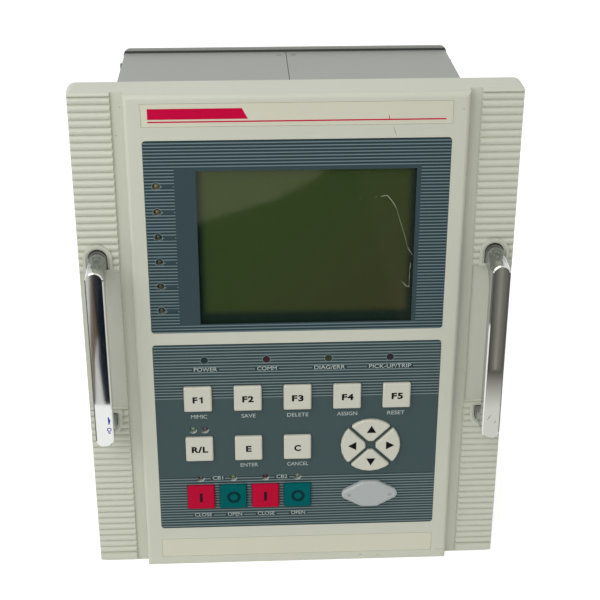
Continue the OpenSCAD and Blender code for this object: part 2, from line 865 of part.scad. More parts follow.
// cast bow handle: flat bevelled bar on two arched feet that flare towards the panel
module handle(side) {
    window_y = handle_y + handle_t;
    at_bevel = handle_len / 2;
    color("#C9CCCE")
        translate([side * handle_x, 0, handle_up])
            difference() {
                hull() {
                    from_front(handle_y, handle_y + skin) bar_outline(at_bevel, handle_bevel);
                    from_front(handle_y + handle_bevel, handle_y + handle_bevel + skin)
                        bar_outline(at_bevel, 0);
                    from_front(handle_seat_y - skin, handle_seat_y) bar_outline(base_half, 0);
                }
                from_side(-handle_w, handle_w)
                    union() {
                        translate([window_y + bend_r, -foot_in]) square([2 * handle_high, 2 * foot_in]);
                        translate([window_y, bend_r - foot_in])
                            square([bend_r + over, 2 * (foot_in - bend_r)]);
                        for (s = [-1, 1])
                            translate([window_y + bend_r, s * (foot_in - bend_r)]) circle(r = bend_r);
                    }
                for (s = [-1, 1])
                    rod(handle_screw_r, handle_seat_y - tap_d - over, handle_seat_y + over, 0, s * arch_z);
            }
}

module handle_left() {
    handle(-1);
}

module handle_right() {
    handle(1);
}

module handle_screws() {
    head = handle_screw_r * 1.7;
    color(zinc)
        for (side = [-1, 1], s = [-1, 1])
            translate([side * handle_x, 0, handle_up + s * arch_z]) {
                rod(handle_screw_r, handle_seat_y - tap_d, handle_pad_y + eps);
                difference() {
                    rod(head, handle_pad_y, handle_pad_y + boss_pad_t);
                    translate([0, handle_pad_y + boss_pad_t + over, 0])
                        rotate([90, 0, 0])
                            cylinder(r = handle_screw_r * 0.8, h = boss_pad_t * 0.6 + over, $fn = 6);
                }
            }
}

// steel plate that closes the back of the bezel and carries the chassis
module front_plate() {
    color(zinc)
        difference() {
            box(plate_w, plate_h, plate_y - plate_t, plate_y);
            for (s = [-1, 1], z = post_zs)
                rod(screw_r + drill, plate_y - plate_t - over, plate_y + over, s * post_x, z);
            box(link_w * 1.75, link_h * 1.25, plate_y - plate_t - over, plate_y + over, cpu_x, keypad_z);
        }
}

module gasket() {
    color(black)
        difference() {
            box(plate_w, plate_h, plate_y, -flange_t);
            box(case_w + 2 * gasket_t, case_h + 2 * gasket_t, plate_y - over, 0);
        }
}

// pan-head screw along +Y with a cross recess, seated at y = 0
module pan_screw(r, head, high, length) {
    cross = head * 0.3;
    rod(r, -length, eps);
    difference() {
        rod(head, 0, high);
        box(cross, head * 1.5, high * 0.5, high + over);
        box(head * 1.5, cross, high * 0.5, high + over);
    }
}

module bezel_screws() {
    color(zinc)
        for (s = [-1, 1], z = post_zs)
            translate([s * post_x, plate_y, z]) pan_screw(screw_r, head_r, head_t, post_hole - head_t);
}

// side plate of the chassis with tabs bent in at the front and the back and three lightening holes
module chassis_side() {
    tab = chassis_x - post_x - head_r - 2 * run;
    tab_h = chassis_z * 1.5;
    hole_h = chassis_z * 0.45;
    difference() {
        union() {
            translate([chassis_x - plate_t, plate_y, -chassis_z])
                cube([plate_t, chassis_d - plate_y, 2 * chassis_z]);
            translate([chassis_x - tab, plate_y, -tab_h / 2]) cube([tab, plate_t, tab_h]);
            translate([chassis_x - tab, chassis_d - plate_t, -tab_h / 2]) cube([tab, plate_t, tab_h]);
        }
        for (k = [-1:1])
            translate([chassis_x - 2 * plate_t, chassis_d * 0.25, k * chassis_z * 0.6 - hole_h / 2])
                cube([3 * plate_t, chassis_d * 0.5, hole_h]);
    }
}

module chassis_left() {
    color(zinc)
        mirror([1, 0, 0]) chassis_side();
}

module chassis_right() {
    color(zinc)
        chassis_side();
}

module backplane() {
    color(board_green)
        box(2 * (chassis_x - plate_t) - board_gap, 2 * chassis_z - chassis_drop, chassis_d, backplane_y);
}

module at_blades() {
    for (s = [-1, 1], k = [0:terminal_n - 1])
        translate([s * terminal_x, 0, (k - (terminal_n - 1) / 2) * terminal_pitch]) children();
}

module unit_plugs() {
    color(black) {
        for (s = [-1, 1])
            box(socket_w, plug_h, backplane_y, plug_y, s * terminal_x);
        at_blades()
            for (x = [-blade_x, blade_x])
                box(blade_w, blade_h, plug_y - eps, plug_y + blade_len, x);
    }
}

module case_sockets() {
    color("#3A3C3E")
        difference() {
            for (s = [-1, 1])
                box(socket_w, plug_h, plug_y + socket_gap, rear_y, s * terminal_x);
            at_blades()
                for (x = [-blade_x, blade_x])
                    box(blade_w + 2 * blade_gap, blade_h + 2 * blade_gap, plug_y - over,
                        plug_y + blade_len + over, x);
        }
}

// a printed card on edge behind the front plate, plugged into the backplane
module card(x) {
    translate([x - board_t / 2, card_y, -card_h / 2])
        cube([board_t, card_d, card_h]);
}

// a block of thickness t on a card's right side; its place and size are shares of the card's
module on_card(x, at_y, at_z, dy, dz, t) {
    translate([x + board_t / 2 - eps, card_y + (at_y - dy / 2) * card_d, (at_z - dz / 2) * card_h])
        cube([t, dy * card_d, dz * card_h]);
}

module cpu_board() {
    color(board_green) {
        card(cpu_x);
        on_card(cpu_x, 0.32, 0.09, 0.26, 0.13, chip_t);
        for (k = [-1:1])
            on_card(cpu_x, 0.68, k * 0.12, 0.17, 0.056, chip_t);
        on_card(cpu_x, 0.32, -0.21, 0.11, 0.14, 2 * chip_t);
    }
}

// output card with its relays in two columns
module output_board() {
    color(board_green)
        card(io_x);
    color("#2E4A6B")
        for (y = [0.2, 0.6], k = [-3:3])
            on_card(io_x, y, k / 8, 0.26, 0.056, bay_w * 0.36);
}

module power_board() {
    color(board_green)
        card(power_x);
}

// supply transformer and a row of capacitors on the left side of the power board
module power_parts() {
    can_r = card_h / 27;
    color(black) {
        translate([power_x - board_t / 2 - bay_w * 0.56, card_y + card_d * 0.23, card_h * 0.09])
            cube([bay_w * 0.56, card_d * 0.38, card_h * 0.22]);
        for (k = [0:3])
            translate([power_x - board_t / 2, card_y + card_d * 0.68, (k - 3.2) * 2.75 * can_r])
                rotate([0, -90, 0]) cylinder(r = can_r, h = bay_w * 0.52);
    }
}

// header that links the keypad board to the processor card through the front plate
module board_link() {
    color(black)
        box(link_w, link_h, board_y + board_t, card_y, cpu_x, keypad_z);
}

// half of the folded case: side, half the top and bottom, and a lip for the rear plate
module case_half() {
    depth = rear_y + flange_t;
    difference() {
        union() {
            difference() {
                translate([seam / 2, -flange_t, -case_h / 2])
                    cube([case_w / 2 - seam / 2, depth, case_h]);
                translate([-over, -flange_t - over, -inside_h / 2])
                    cube([inside_w / 2 + over, depth + 2 * over, inside_h]);
            }
            translate([inside_w / 2 - lip_w, rear_y - sheet, -inside_h / 2])
                cube([lip_w + eps, sheet, inside_h]);
        }
        translate([slot_in - slot_w / 2, rear_y - slot_back, 0]) cube([slot_w, slot_l, case_h]);
        rods(rear_screw_spots, screw_r, rear_y - sheet - over, rear_y + over);
        for (z = side_screw_zs)
            translate([inside_w / 2 - over, side_screw_y, z])
                rotate([0, 90, 0]) cylinder(r = screw_r, h = sheet + 2 * over);
    }
}

module case_left() {
    color("#A3A59E")
        mirror([1, 0, 0]) case_half();
}

module case_right() {
    color("#A3A59E")
        case_half();
}

module mounting_flange() {
    color(zinc)
        difference() {
            box(flange_w, flange_h, -flange_t, 0);
            box(case_w, case_h, -flange_t - over, over);
            for (sx = [-1, 1], sz = [-1, 1])
                rod(stud_head_r, -flange_t - over, over, sx * stud_x / 2, sz * stud_z / 2);
        }
}

// studs with their heads pressed flush into the flange
module mounting_studs() {
    color(zinc)
        for (sx = [-1, 1], sz = [-1, 1])
            translate([sx * stud_x / 2, 0, sz * stud_z / 2]) {
                rod(stud_head_r, -flange_t, 0);
                rod(stud_r, -eps, stud_len);
            }
}

module rear_plate() {
    color("#9C9E98")
        difference() {
            rounded_box(case_w + 2 * rear_lip_x, case_h + 2 * rear_lip_z, rear_r, rear_y, case_d);
            rods(rear_screw_spots, screw_r + drill, rear_y - over, case_d + over);
            rod(earth_r, rear_y - over, case_d + over, 0, earth_z);
        }
}

// pan-head screws of the rear plate and of the case sides
module case_screws() {
    color(black) {
        for (p = rear_screw_spots)
            translate([p[0], case_d, p[1]]) pan_screw(screw_r, head_r, head_t, rear_t + sheet + head_r);
        for (s = [0, 1], z = side_screw_zs)
            mirror([s, 0, 0])
                translate([case_w / 2, side_screw_y, z])
                    rotate([0, 0, -90]) pan_screw(screw_r, head_r, head_t, sheet + head_r);
    }
}

module earth_stud() {
    color("#B59A52") {
        rod(earth_r, rear_y - earth_r, case_d + earth_len, 0, earth_z);
        translate([0, case_d + nut_t, earth_z]) rotate([90, 0, 0]) cylinder(r = nut_r, h = nut_t, $fn = 6);
    }
}

// open barrier strips: a base with a wall between each two terminals
module terminal_blocks() {
    base_y = case_d + terminal_base;
    color(black)
        for (s = [-1, 1]) {
            box(terminal_w, plug_h + terminal_fin, case_d, base_y, s * terminal_x);
            for (k = [0:terminal_n])
                box(terminal_w, terminal_fin, base_y - eps, case_d + terminal_d, s * terminal_x,
                    (k - terminal_n / 2) * terminal_pitch);
        }
}

module terminal_screws() {
    base_y = case_d + terminal_base;
    clamp_t = over;
    color(zinc)
        at_blades() {
            box(terminal_w - 2 * terminal_edge, terminal_pitch * 0.55, base_y, base_y + clamp_t);
            for (x = [-1, 1])
                translate([x * terminal_w / 4, base_y + clamp_t, 0])
                    pan_screw(screw_r * 0.7, terminal_pitch * 0.22, head_t, clamp_t / 2);
        }
}

// nylon rails on the case sides that guide the chassis
module guide_rails() {
    wall_x = inside_w / 2;
    color("#D8D8D2")
        for (s = [0, 1], z = [-1, 1])
            mirror([s, 0, 0])
                translate([0, 0, z * chassis_z * 0.55 - rail_h / 2])
                    linear_extrude(rail_h)
                        polygon([[wall_x, rail_start], [wall_x - rail_t * 0.75, rail_start],
                            [wall_x - rail_t, rail_start + rail_lead], [wall_x - rail_t, chassis_d],
                            [wall_x, chassis_d]]);
}

// key cap with soft edges, and a flange behind the front wall that keeps it in
module square_key(p, tint) {
    cap_y = face_y - key_high;
    top_r = key_round * 0.7;
    inset = key_bevel + top_r;
    color(tint)
        translate([p[0], 0, p[1]]) {
            hull() {
                from_front(cap_y, cap_y + skin)
                    offset(r = top_r, $fn = 24)
                        square([key_w - 2 * inset, key_h - 2 * inset], center = true);
                from_front(cap_y + key_bevel, inner_y + eps)
                    offset(r = key_round, $fn = 24)
                        square([key_w - 2 * key_round, key_h - 2 * key_round], center = true);
            }
            box(key_w + 2 * key_lip, key_h + 2 * key_lip, inner_y, key_back_y);
        }
}

module arrow_key(turn) {
    cap_y = face_y - key_high;
    top_r = key_round * 0.7;
    color(ivory)
        on_pad(turn) {
            hull() {
                from_front(cap_y, cap_y + skin)
                    offset(r = top_r, $fn = 24) offset(delta = -top_r - key_bevel) sector();
                from_front(cap_y + key_bevel, inner_y + eps)
                    offset(r = key_round, $fn = 24) offset(delta = -key_round) sector();
            }
            from_front(inner_y, key_back_y) sector(key_lip * 0.75);
        }
}

module key_f1() {
    square_key(key_spots[0], ivory);
}

module key_f2() {
    square_key(key_spots[1], ivory);
}

module key_f3() {
    square_key(key_spots[2], ivory);
}

module key_f4() {
    square_key(key_spots[3], ivory);
}

module key_f5() {
    square_key(key_spots[4], ivory);
}

module key_mode() {
    square_key(key_spots[5], ivory);
}

module key_enter() {
    square_key(key_spots[6], ivory);
}

module key_cancel() {
    square_key(key_spots[7], ivory);
}

module key_close_1() {
    square_key(key_spots[8], "#BE1440");
}

module key_open_1() {
    square_key(key_spots[9], "#046A60");
}

module key_close_2() {
    square_key(key_spots[10], "#BE1440");
}

module key_open_2() {
    square_key(key_spots[11], "#046A60");
}

module key_right() {
    arrow_key(0);
}

module key_up() {
    arrow_key(90);
}

module key_left() {
    arrow_key(180);
}

module key_down() {
    arrow_key(270);
}

case_left();
case_right();
mounting_flange();
mounting_studs();
rear_plate();
case_screws();
earth_stud();
terminal_blocks();
terminal_screws();
case_sockets();
guide_rails();
bezel();
top_strip();
bottom_strip();
display_overlay();
keypad_overlay();
window_pane();
display_cell();
display_frame();
lamp_board();
display_lamps();
keypad_board();
key_mat();
green_lamps();
red_lamps();
port_shell();
port_insert();
jack_screws();
port_cover();
handle_left();
handle_right();
handle_screws();
front_plate();
gasket();
bezel_screws();
chassis_left();
chassis_right();
backplane();
unit_plugs();
cpu_board();
output_board();
power_board();
power_parts();
board_link();
key_f1();
key_f2();
key_f3();
key_f4();
key_f5();
key_mode();
key_enter();
key_cancel();
key_up();
key_down();
key_left();
key_right();
key_close_1();
key_open_1();
key_close_2();
key_open_2();
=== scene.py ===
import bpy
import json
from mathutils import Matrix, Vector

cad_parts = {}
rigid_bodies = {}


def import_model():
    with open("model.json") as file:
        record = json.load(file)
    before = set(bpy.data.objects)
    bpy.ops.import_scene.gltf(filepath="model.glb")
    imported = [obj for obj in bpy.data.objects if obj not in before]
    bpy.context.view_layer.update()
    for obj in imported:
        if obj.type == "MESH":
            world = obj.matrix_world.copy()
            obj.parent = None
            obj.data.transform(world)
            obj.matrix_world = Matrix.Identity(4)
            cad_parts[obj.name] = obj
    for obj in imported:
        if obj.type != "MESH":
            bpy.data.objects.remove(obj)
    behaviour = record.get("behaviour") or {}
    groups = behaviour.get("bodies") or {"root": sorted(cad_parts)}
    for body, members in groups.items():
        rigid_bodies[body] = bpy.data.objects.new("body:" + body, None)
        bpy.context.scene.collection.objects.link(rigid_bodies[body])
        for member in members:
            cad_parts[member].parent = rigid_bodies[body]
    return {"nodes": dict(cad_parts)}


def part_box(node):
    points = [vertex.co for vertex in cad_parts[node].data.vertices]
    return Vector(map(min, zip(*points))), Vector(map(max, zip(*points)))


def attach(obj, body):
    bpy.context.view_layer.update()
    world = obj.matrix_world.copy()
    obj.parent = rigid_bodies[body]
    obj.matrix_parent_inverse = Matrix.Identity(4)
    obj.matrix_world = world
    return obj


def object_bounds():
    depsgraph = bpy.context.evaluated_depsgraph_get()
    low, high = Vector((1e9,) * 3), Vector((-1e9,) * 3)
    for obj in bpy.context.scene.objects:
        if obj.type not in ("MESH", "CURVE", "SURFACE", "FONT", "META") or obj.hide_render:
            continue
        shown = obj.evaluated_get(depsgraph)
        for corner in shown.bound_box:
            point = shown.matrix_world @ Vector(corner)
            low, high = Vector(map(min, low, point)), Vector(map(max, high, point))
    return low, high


bl_info = {
    "name": "Protection relay finishes",
    "version": (1, 0, 0),
    "blender": (4, 5, 0),
    "location": "View3D > Sidebar > Relay",
    "description": "Dresses the solids of a draw-out protection relay with its finishes, print and wear",
    "category": "Object",
}

import json
import math

import bmesh
import bpy
from mathutils import Euler, Vector

for leftover in list(bpy.data.objects):
    bpy.data.objects.remove(leftover)

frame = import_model()
CAD_LOW, CAD_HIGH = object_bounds()
MM = 0.001
NODES = frame["nodes"]


def linear(code):
    """Linear RGBA of an sRGB hex colour."""
    parts = [int(code[i:i + 2], 16) / 255 for i in (1, 3, 5)]
    return [c / 12.92 if c <= 0.04045 else ((c + 0.055) / 1.055) ** 2.4 for c in parts] + [1.0]


# Faces and centres that the print and the wear are placed by, read from the solids
FACE_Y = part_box("display_overlay")[0].y
KEY_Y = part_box("key_f1")[0].y
PANE_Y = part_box("window_pane")[0].y
STRIP_LOW, STRIP_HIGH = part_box("top_strip")
BAR_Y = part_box("handle_left")[0].y
KEYPAD_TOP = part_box("keypad_overlay")[1].z / MM
CHANNEL_DEPTH = 7 * MM
CHANNEL_Y = FACE_Y + CHANNEL_DEPTH
FLOOR_Z = CAD_LOW.z

# Marks on glass and plated metal stand this far proud
FILM = 0.01 * MM

# The stage: the camera in millimetres and degrees, and each soft light's place, width in metres and watts
CAMERA_LENS = 80.303
CAMERA_PLACE = (-31.43, -717.08, 360.41)
CAMERA_TURN = (64.5009, -0.0806, -2.6824)
LIGHTS = {
    "key_light": ((-0.8, -0.8, 1.05), 1.5, 12.9),
    "fill_light": ((1.3, -0.9, 1.0), 1.4, 0.8),
}
LIGHTS_AIM = (0, 0.05, 0)
ROOM_LIGHT = 0.53
ROOM_SEEN = 1
FLOOR_LIFT = 0.6
FLOOR_REACH = 4


def middle(node):
    """Centre of a solid seen from the front, as (x, z) in millimetres."""
    low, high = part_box(node)
    return (low.x + high.x) / 2 / MM, (low.z + high.z) / 2 / MM


def length(name, description, mm):
    """A length property with its default given in millimetres."""
    return bpy.props.FloatProperty(
        name=name, description=description, default=mm * MM, unit="LENGTH", precision=5
    )


def colour(name, description, code):
    """A colour property with its default given as sRGB hex."""
    return bpy.props.FloatVectorProperty(
        name=name, description=description, default=linear(code), size=4, min=0, max=1, subtype="COLOR"
    )


class RelaySizes(bpy.types.PropertyGroup):
    print_height: length("Print height", "How far ink stands proud of what it is printed on", 0.03)
    display_pitch: length("Display stripe pitch", "Spacing of the stripes on the display film", 1.904)
    keypad_pitch: length("Keypad stripe pitch", "Spacing of the stripes on the keypad film", 1.904)
    stripe_share: bpy.props.FloatProperty(
        name="Stripe share", description="Width of a light stripe as a share of the pitch", default=0.37,
        min=0, max=1, subtype="FACTOR",
    )
    word_height: length("Word height", "Height of the capitals on the films", 2.5)
    letter_height: length("Key letter height", "Height of the capitals on the keys", 4.2)
    ring_radius: length("Lamp ring radius", "Middle radius of the pale ring round a lamp", 2.42)
    ring_width: length("Lamp ring width", "Width of the pale ring round a lamp", 0.24)
    band_height: length("Band height", "Height of the crimson band on the top strip", 6.0)
    line_height: length("Line height", "Height of the crimson line under the band", 0.78)
    sign_bar: length("Bar sign width", "Width of the bar on a closing key", 1.9)
    sign_ring: length("Ring sign diameter", "Outer diameter of the ring on an opening key", 8.4)
    arrow: length("Arrow size", "Base of the triangle on an arrow key", 5.7)
    thread_pitch: length("Thread pitch", "Pitch of the threads on the studs", 0.9)


class RelayColours(bpy.types.PropertyGroup):
    ivory: colour("Ivory", "Moulded front frame", "#C8CABA")
    cream: colour("Cream", "Printed strips above and below the films", "#CFCEBA")
    crimson: colour("Crimson", "Band and line on the top strip", "#C2023C")
    display_plain: colour("Display slate", "Plain ground of the display film", "#36474C")
    display_light: colour("Display light stripe", "Light stripe of the display film", "#6C7F84")
    display_dark: colour("Display dark stripe", "Dark stripe of the display film", "#283A3E")
    keypad_plain: colour("Keypad slate", "Plain ground of the keypad film", "#415253")
    keypad_light: colour("Keypad light stripe", "Light stripe of the keypad film", "#768788")
    keypad_dark: colour("Keypad dark stripe", "Dark stripe of the keypad film", "#2F3F42")
    pale_ink: colour("Pale ink", "Words on the films", "#B2BBB7")
    grey_ink: colour("Grey ink", "Rings round the lamps", "#79878A")
    black_ink: colour("Black ink", "Letters and arrows on the keys", "#0D0E10")
    key: colour("Key", "Ivory keys", "#CACABB")
    key_red: colour("Closing key", "Crimson keys", "#BC1036")
    key_green: colour("Opening key", "Green keys", "#005D5F")
    cover: colour("Port cover", "Silvery grey cover of the front port", "#ABB1AF")
    cell: colour("Display cell", "Unlit liquid crystal cell", "#384824")
    case: colour("Case", "Grey paint of the case", "#9D9F99")
    chrome: colour("Chrome", "Plated handles", "#C8C9C7")
    zinc: colour("Zinc", "Plated steel sheet and screws", "#B9BDBE")
    board: colour("Board", "Solder resist of the circuit boards", "#2F6B45")


def sizes():
    return bpy.context.scene.relay_sizes


def colours():
    return bpy.context.scene.relay_colours


# Materials


def add(tree, kind, inputs=None, **settings):
    """Adds one node, sets its settings, and links or sets its inputs."""
    node = tree.nodes.new(kind)
    for name, value in settings.items():
        setattr(node, name, value)
    for key, value in (inputs or {}).items():
        if isinstance(value, bpy.types.NodeSocket):
            tree.links.new(value, node.inputs[key])
        else:
            node.inputs[key].default_value = value
    return node


def material(name, **inputs):
    """A material with one Principled shader; returns it with its tree, shader and object coordinates."""
    made = bpy.data.materials.new(name)
    made.use_nodes = True
    tree = made.node_tree
    shader = tree.nodes["Principled BSDF"]
    for key, value in inputs.items():
        shader.inputs[key.replace("_", " ")].default_value = value
    place = add(tree, "ShaderNodeTexCoord").outputs["Object"]
    return made, tree, shader, place


def relief(tree, shader, place, grain_mm, depth_mm):
    """A fine grain in the surface's relief, drawn coarser than a real one so that it shows."""
    grain = add(tree, "ShaderNodeTexNoise", {"Vector": place, "Scale": 1 / (grain_mm * MM), "Detail": 2})
    heights = {"Height": grain.outputs["Fac"], "Distance": depth_mm * MM, "Strength": 1}
    bump = add(tree, "ShaderNodeBump", heights)
    tree.links.new(bump.outputs["Normal"], shader.inputs["Normal"])


def uneven_shine(tree, shader, place, scale, detail, low, high):
    """A roughness that drifts between two values."""
    patch = add(tree, "ShaderNodeTexNoise", {"Vector": place, "Scale": scale, "Detail": detail})
    rough = add(tree, "ShaderNodeMapRange", {"Value": patch.outputs["Fac"], "To Min": low, "To Max": high})
    tree.links.new(rough.outputs[0], shader.inputs["Roughness"])


def grained(name, base, grain_mm, depth_mm, shade=0.06, cloud_mm=45, **inputs):
    """A surface with a fine grain in its relief and a slow cloudiness in its colour."""
    made, tree, shader, place = material(name, **inputs)
    cloud = add(tree, "ShaderNodeTexNoise", {"Vector": place, "Scale": 1 / (cloud_mm * MM), "Detail": 3})
    deep = [c * (1 - shade) for c in base[:3]] + [1]
    light = [min(c * (1 + shade), 1) for c in base[:3]] + [1]
    tones = {"Factor": cloud.outputs["Fac"], "A": deep, "B": light}
    tint = add(tree, "ShaderNodeMix", tones, data_type="RGBA")
    tree.links.new(tint.outputs["Result"], shader.inputs["Base Color"])
    relief(tree, shader, place, grain_mm, depth_mm)
    return made


def dress(made, *names):
    """Gives nodes of the frame their material; their meshes stay as they are."""
    for name in names:
        mesh = NODES[name].data
        mesh.materials.clear()
        mesh.materials.append(made)


def ivory_abs():
    # Moulded ABS with a spark-eroded mould finish: a soft sheen broken by a very fine grain
    return grained("moulded_ivory_abs", colours().ivory[:], 0.5, 0.012, 0.025, Roughness=0.42, IOR=1.53)


def cream_film():
    # Polyester film printed on its face: smooth, with a low sheen
    return grained("printed_cream_film", colours().cream[:], 0.8, 0.004, 0.02, Roughness=0.38, IOR=1.57)


def striped_film(name, plain, light, dark, pitch, centre, plain_box, jump=None):
    """Polyester film printed with level stripes outside a plain box (x, z, half width, half height).

    centre is the height of one light stripe; jump (height, share of the pitch) shifts those below a height.
    """
    # The film's matt hard coat gives a soft sheen with no clear reflections
    made, tree, shader, place = material(name, Roughness=0.5, IOR=1.57, Specular_IOR_Level=0.1)
    apart = add(tree, "ShaderNodeSeparateXYZ", {"Vector": place})
    across, up = apart.outputs["X"], apart.outputs["Z"]
    turns = add(
        tree, "ShaderNodeMath", {0: up, 1: 1 / pitch, 2: 0.5 - centre / pitch}, operation="MULTIPLY_ADD"
    )
    if jump:
        level, shift = jump
        below = add(tree, "ShaderNodeMath", {0: up, 1: level}, operation="LESS_THAN")
        turns = add(
            tree, "ShaderNodeMath",
            {0: below.outputs[0], 1: shift, 2: turns.outputs[0]}, operation="MULTIPLY_ADD",
        )
    part = add(tree, "ShaderNodeMath", {0: turns.outputs[0]}, operation="FRACT")
    off = add(tree, "ShaderNodeMath", {0: part.outputs[0], 1: 0.5}, operation="SUBTRACT")
    off = add(tree, "ShaderNodeMath", {0: off.outputs[0]}, operation="ABSOLUTE")
    half, blur = sizes().stripe_share / 2, 0.06
    lit = add(
        tree, "ShaderNodeMapRange",
        {"Value": off.outputs[0], "From Min": half + blur, "From Max": half - blur},
        interpolation_type="SMOOTHSTEP",
    )
    stripes = add(tree, "ShaderNodeMix", {"Factor": lit.outputs[0], "A": dark, "B": light}, data_type="RGBA")
    x, z, half_w, half_h = plain_box
    in_x = add(tree, "ShaderNodeMath", {0: across, 1: x, 2: half_w}, operation="COMPARE")
    in_z = add(tree, "ShaderNodeMath", {0: up, 1: z, 2: half_h}, operation="COMPARE")
    inside = add(tree, "ShaderNodeMath", {0: in_x.outputs[0], 1: in_z.outputs[0]}, operation="MULTIPLY")
    film = add(
        tree, "ShaderNodeMix",
        {"Factor": inside.outputs[0], "A": stripes.outputs["Result"], "B": plain}, data_type="RGBA",
    )
    tree.links.new(film.outputs["Result"], shader.inputs["Base Color"])
    relief(tree, shader, place, 0.6, 0.006)
    return made


def ink(name, base, roughness=0.5):
    # Screen-printed ink: matt, with a faint unevenness in its cover; the same matt mark also makes the
    # painted highlight round each sunk lamp
    return grained(name, base[:], 0.4, 0.004, 0.05, 6, Roughness=roughness, Specular_IOR_Level=0.06)


def clear_acrylic():
    # Cast acrylic sheet: clear, with the clean reflection of a polished face
    made, tree, shader, place = material(
        "clear_cast_acrylic", Base_Color=linear("#F4F7F4"), Transmission_Weight=1.0, Roughness=0.03, IOR=1.49
    )
    uneven_shine(tree, shader, place, 1 / (30 * MM), 5, 0.02, 0.07)
    return made


def liquid_crystal():
    # Unlit liquid crystal glass: a deep olive that browns towards one corner, darker along its sides and its
    # foot
    made, tree, shader, place = material(
        "liquid_crystal_glass", Roughness=0.3, IOR=1.5, Specular_IOR_Level=0.02
    )
    apart = add(tree, "ShaderNodeSeparateXYZ", {"Vector": place})
    low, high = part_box("display_cell")
    slant, olive_at, brown_at = -0.8, 80 * MM, -40 * MM
    warm = add(
        tree, "ShaderNodeMath",
        {0: apart.outputs["X"], 1: slant, 2: apart.outputs["Z"]}, operation="MULTIPLY_ADD",
    )
    warm = add(
        tree, "ShaderNodeMapRange", {"Value": warm.outputs[0], "From Min": olive_at, "From Max": brown_at}
    )
    body = add(
        tree, "ShaderNodeMix",
        {"Factor": warm.outputs[0], "A": colours().cell, "B": linear("#42402A")}, data_type="RGBA",
    )
    # Where the darkening along the sides and the foot ends and the clear field starts
    side_dark, side_clear, foot_dark, foot_clear = 1.5 * MM, 6.5 * MM, 5 * MM, 10.5 * MM
    mid_x, half_w = (low.x + high.x) / 2, (high.x - low.x) / 2
    off = add(tree, "ShaderNodeMath", {0: apart.outputs["X"], 1: mid_x}, operation="SUBTRACT")
    off = add(tree, "ShaderNodeMath", {0: off.outputs[0]}, operation="ABSOLUTE")
    in_x = add(
        tree, "ShaderNodeMapRange",
        {"Value": off.outputs[0], "From Min": half_w - side_dark, "From Max": half_w - side_clear},
        interpolation_type="SMOOTHSTEP",
    )
    floor = add(
        tree, "ShaderNodeMapRange",
        {"Value": apart.outputs["Z"], "From Min": low.z + foot_dark, "From Max": low.z + foot_clear},
        interpolation_type="SMOOTHSTEP",
    )
    live = add(tree, "ShaderNodeMath", {0: in_x.outputs[0], 1: floor.outputs[0]}, operation="MULTIPLY")
    tint = add(
        tree, "ShaderNodeMix",
        {"Factor": live.outputs[0], "A": linear("#1D2C23"), "B": body.outputs["Result"]}, data_type="RGBA",
    )
    tree.links.new(tint.outputs["Result"], shader.inputs["Base Color"])
    return made


def lamp_lens(name, stops, along_x=1.0, along_z=0.5):
    """Diffused epoxy lenses; stops are (reading, colour) pairs, a reading being a weighted place in mm."""
    # Cast epoxy: a small bright highlight over a dull, slightly milky body
    made, tree, shader, place = material(name, Roughness=0.22, IOR=1.55)
    apart = add(tree, "ShaderNodeSeparateXYZ", {"Vector": place})
    aside = add(tree, "ShaderNodeMath", {0: apart.outputs["X"], 1: along_x}, operation="MULTIPLY")
    reading = add(
        tree, "ShaderNodeMath",
        {0: apart.outputs["Z"], 1: along_z, 2: aside.outputs[0]}, operation="MULTIPLY_ADD",
    )
    margin = 20
    first, last = stops[0][0] - margin, stops[-1][0] + margin
    fit = add(
        tree, "ShaderNodeMapRange",
        {"Value": reading.outputs[0], "From Min": first * MM, "From Max": last * MM},
    )
    ramp = add(tree, "ShaderNodeValToRGB", {"Fac": fit.outputs[0]})
    ramp.color_ramp.interpolation = "CONSTANT"
    marks = ramp.color_ramp.elements
    marks[0].position, marks[0].color = 0, linear(stops[0][1])
    marks.remove(marks[1])
    for (before, _), (after, code) in zip(stops, stops[1:]):
        mark = marks.new(((before + after) / 2 - first) / (last - first))
        mark.color = linear(code)
    tree.links.new(ramp.outputs["Color"], shader.inputs["Base Color"])
    return made


def chrome_plate():
    # Bright chromium over polished metal: a near mirror on the bars, with painted shade greying its colour at
    # the feet, which sit in shadow and mirror the darker ribs
    made, tree, shader, place = material("polished_chromium_plate", Metallic=1.0)
    apart = add(tree, "ShaderNodeSeparateXYZ", {"Vector": place})
    # Painted shade: the base colour darkens towards the feet, for the shadow that they sit in
    foot = add(
        tree, "ShaderNodeMapRange",
        {"Value": apart.outputs["Y"], "From Min": BAR_Y + 3 * MM, "From Max": BAR_Y + 8 * MM},
    )
    tint = add(
        tree, "ShaderNodeMix",
        {"Factor": foot.outputs[0], "A": colours().chrome, "B": linear("#9A9E9F")}, data_type="RGBA",
    )
    tree.links.new(tint.outputs["Result"], shader.inputs["Base Color"])
    wide, tall = 1.2 * MM, 25 * MM
    along = add(tree, "ShaderNodeMapping", {"Vector": place, "Scale": (1 / wide, 1 / wide, 1 / tall)})
    uneven_shine(tree, shader, along.outputs[0], 1, 4, 0.02, 0.07)
    return made


def zinc_plate(name="bright_zinc_plated_steel"):
    # Zinc on rolled steel: a cool grey metal with a broad, slightly blotchy shine
    made, tree, shader, place = material(name, Base_Color=colours().zinc[:], Metallic=1.0, Roughness=0.34)
    uneven_shine(tree, shader, place, 1 / (9 * MM), 4, 0.26, 0.46)
    return made


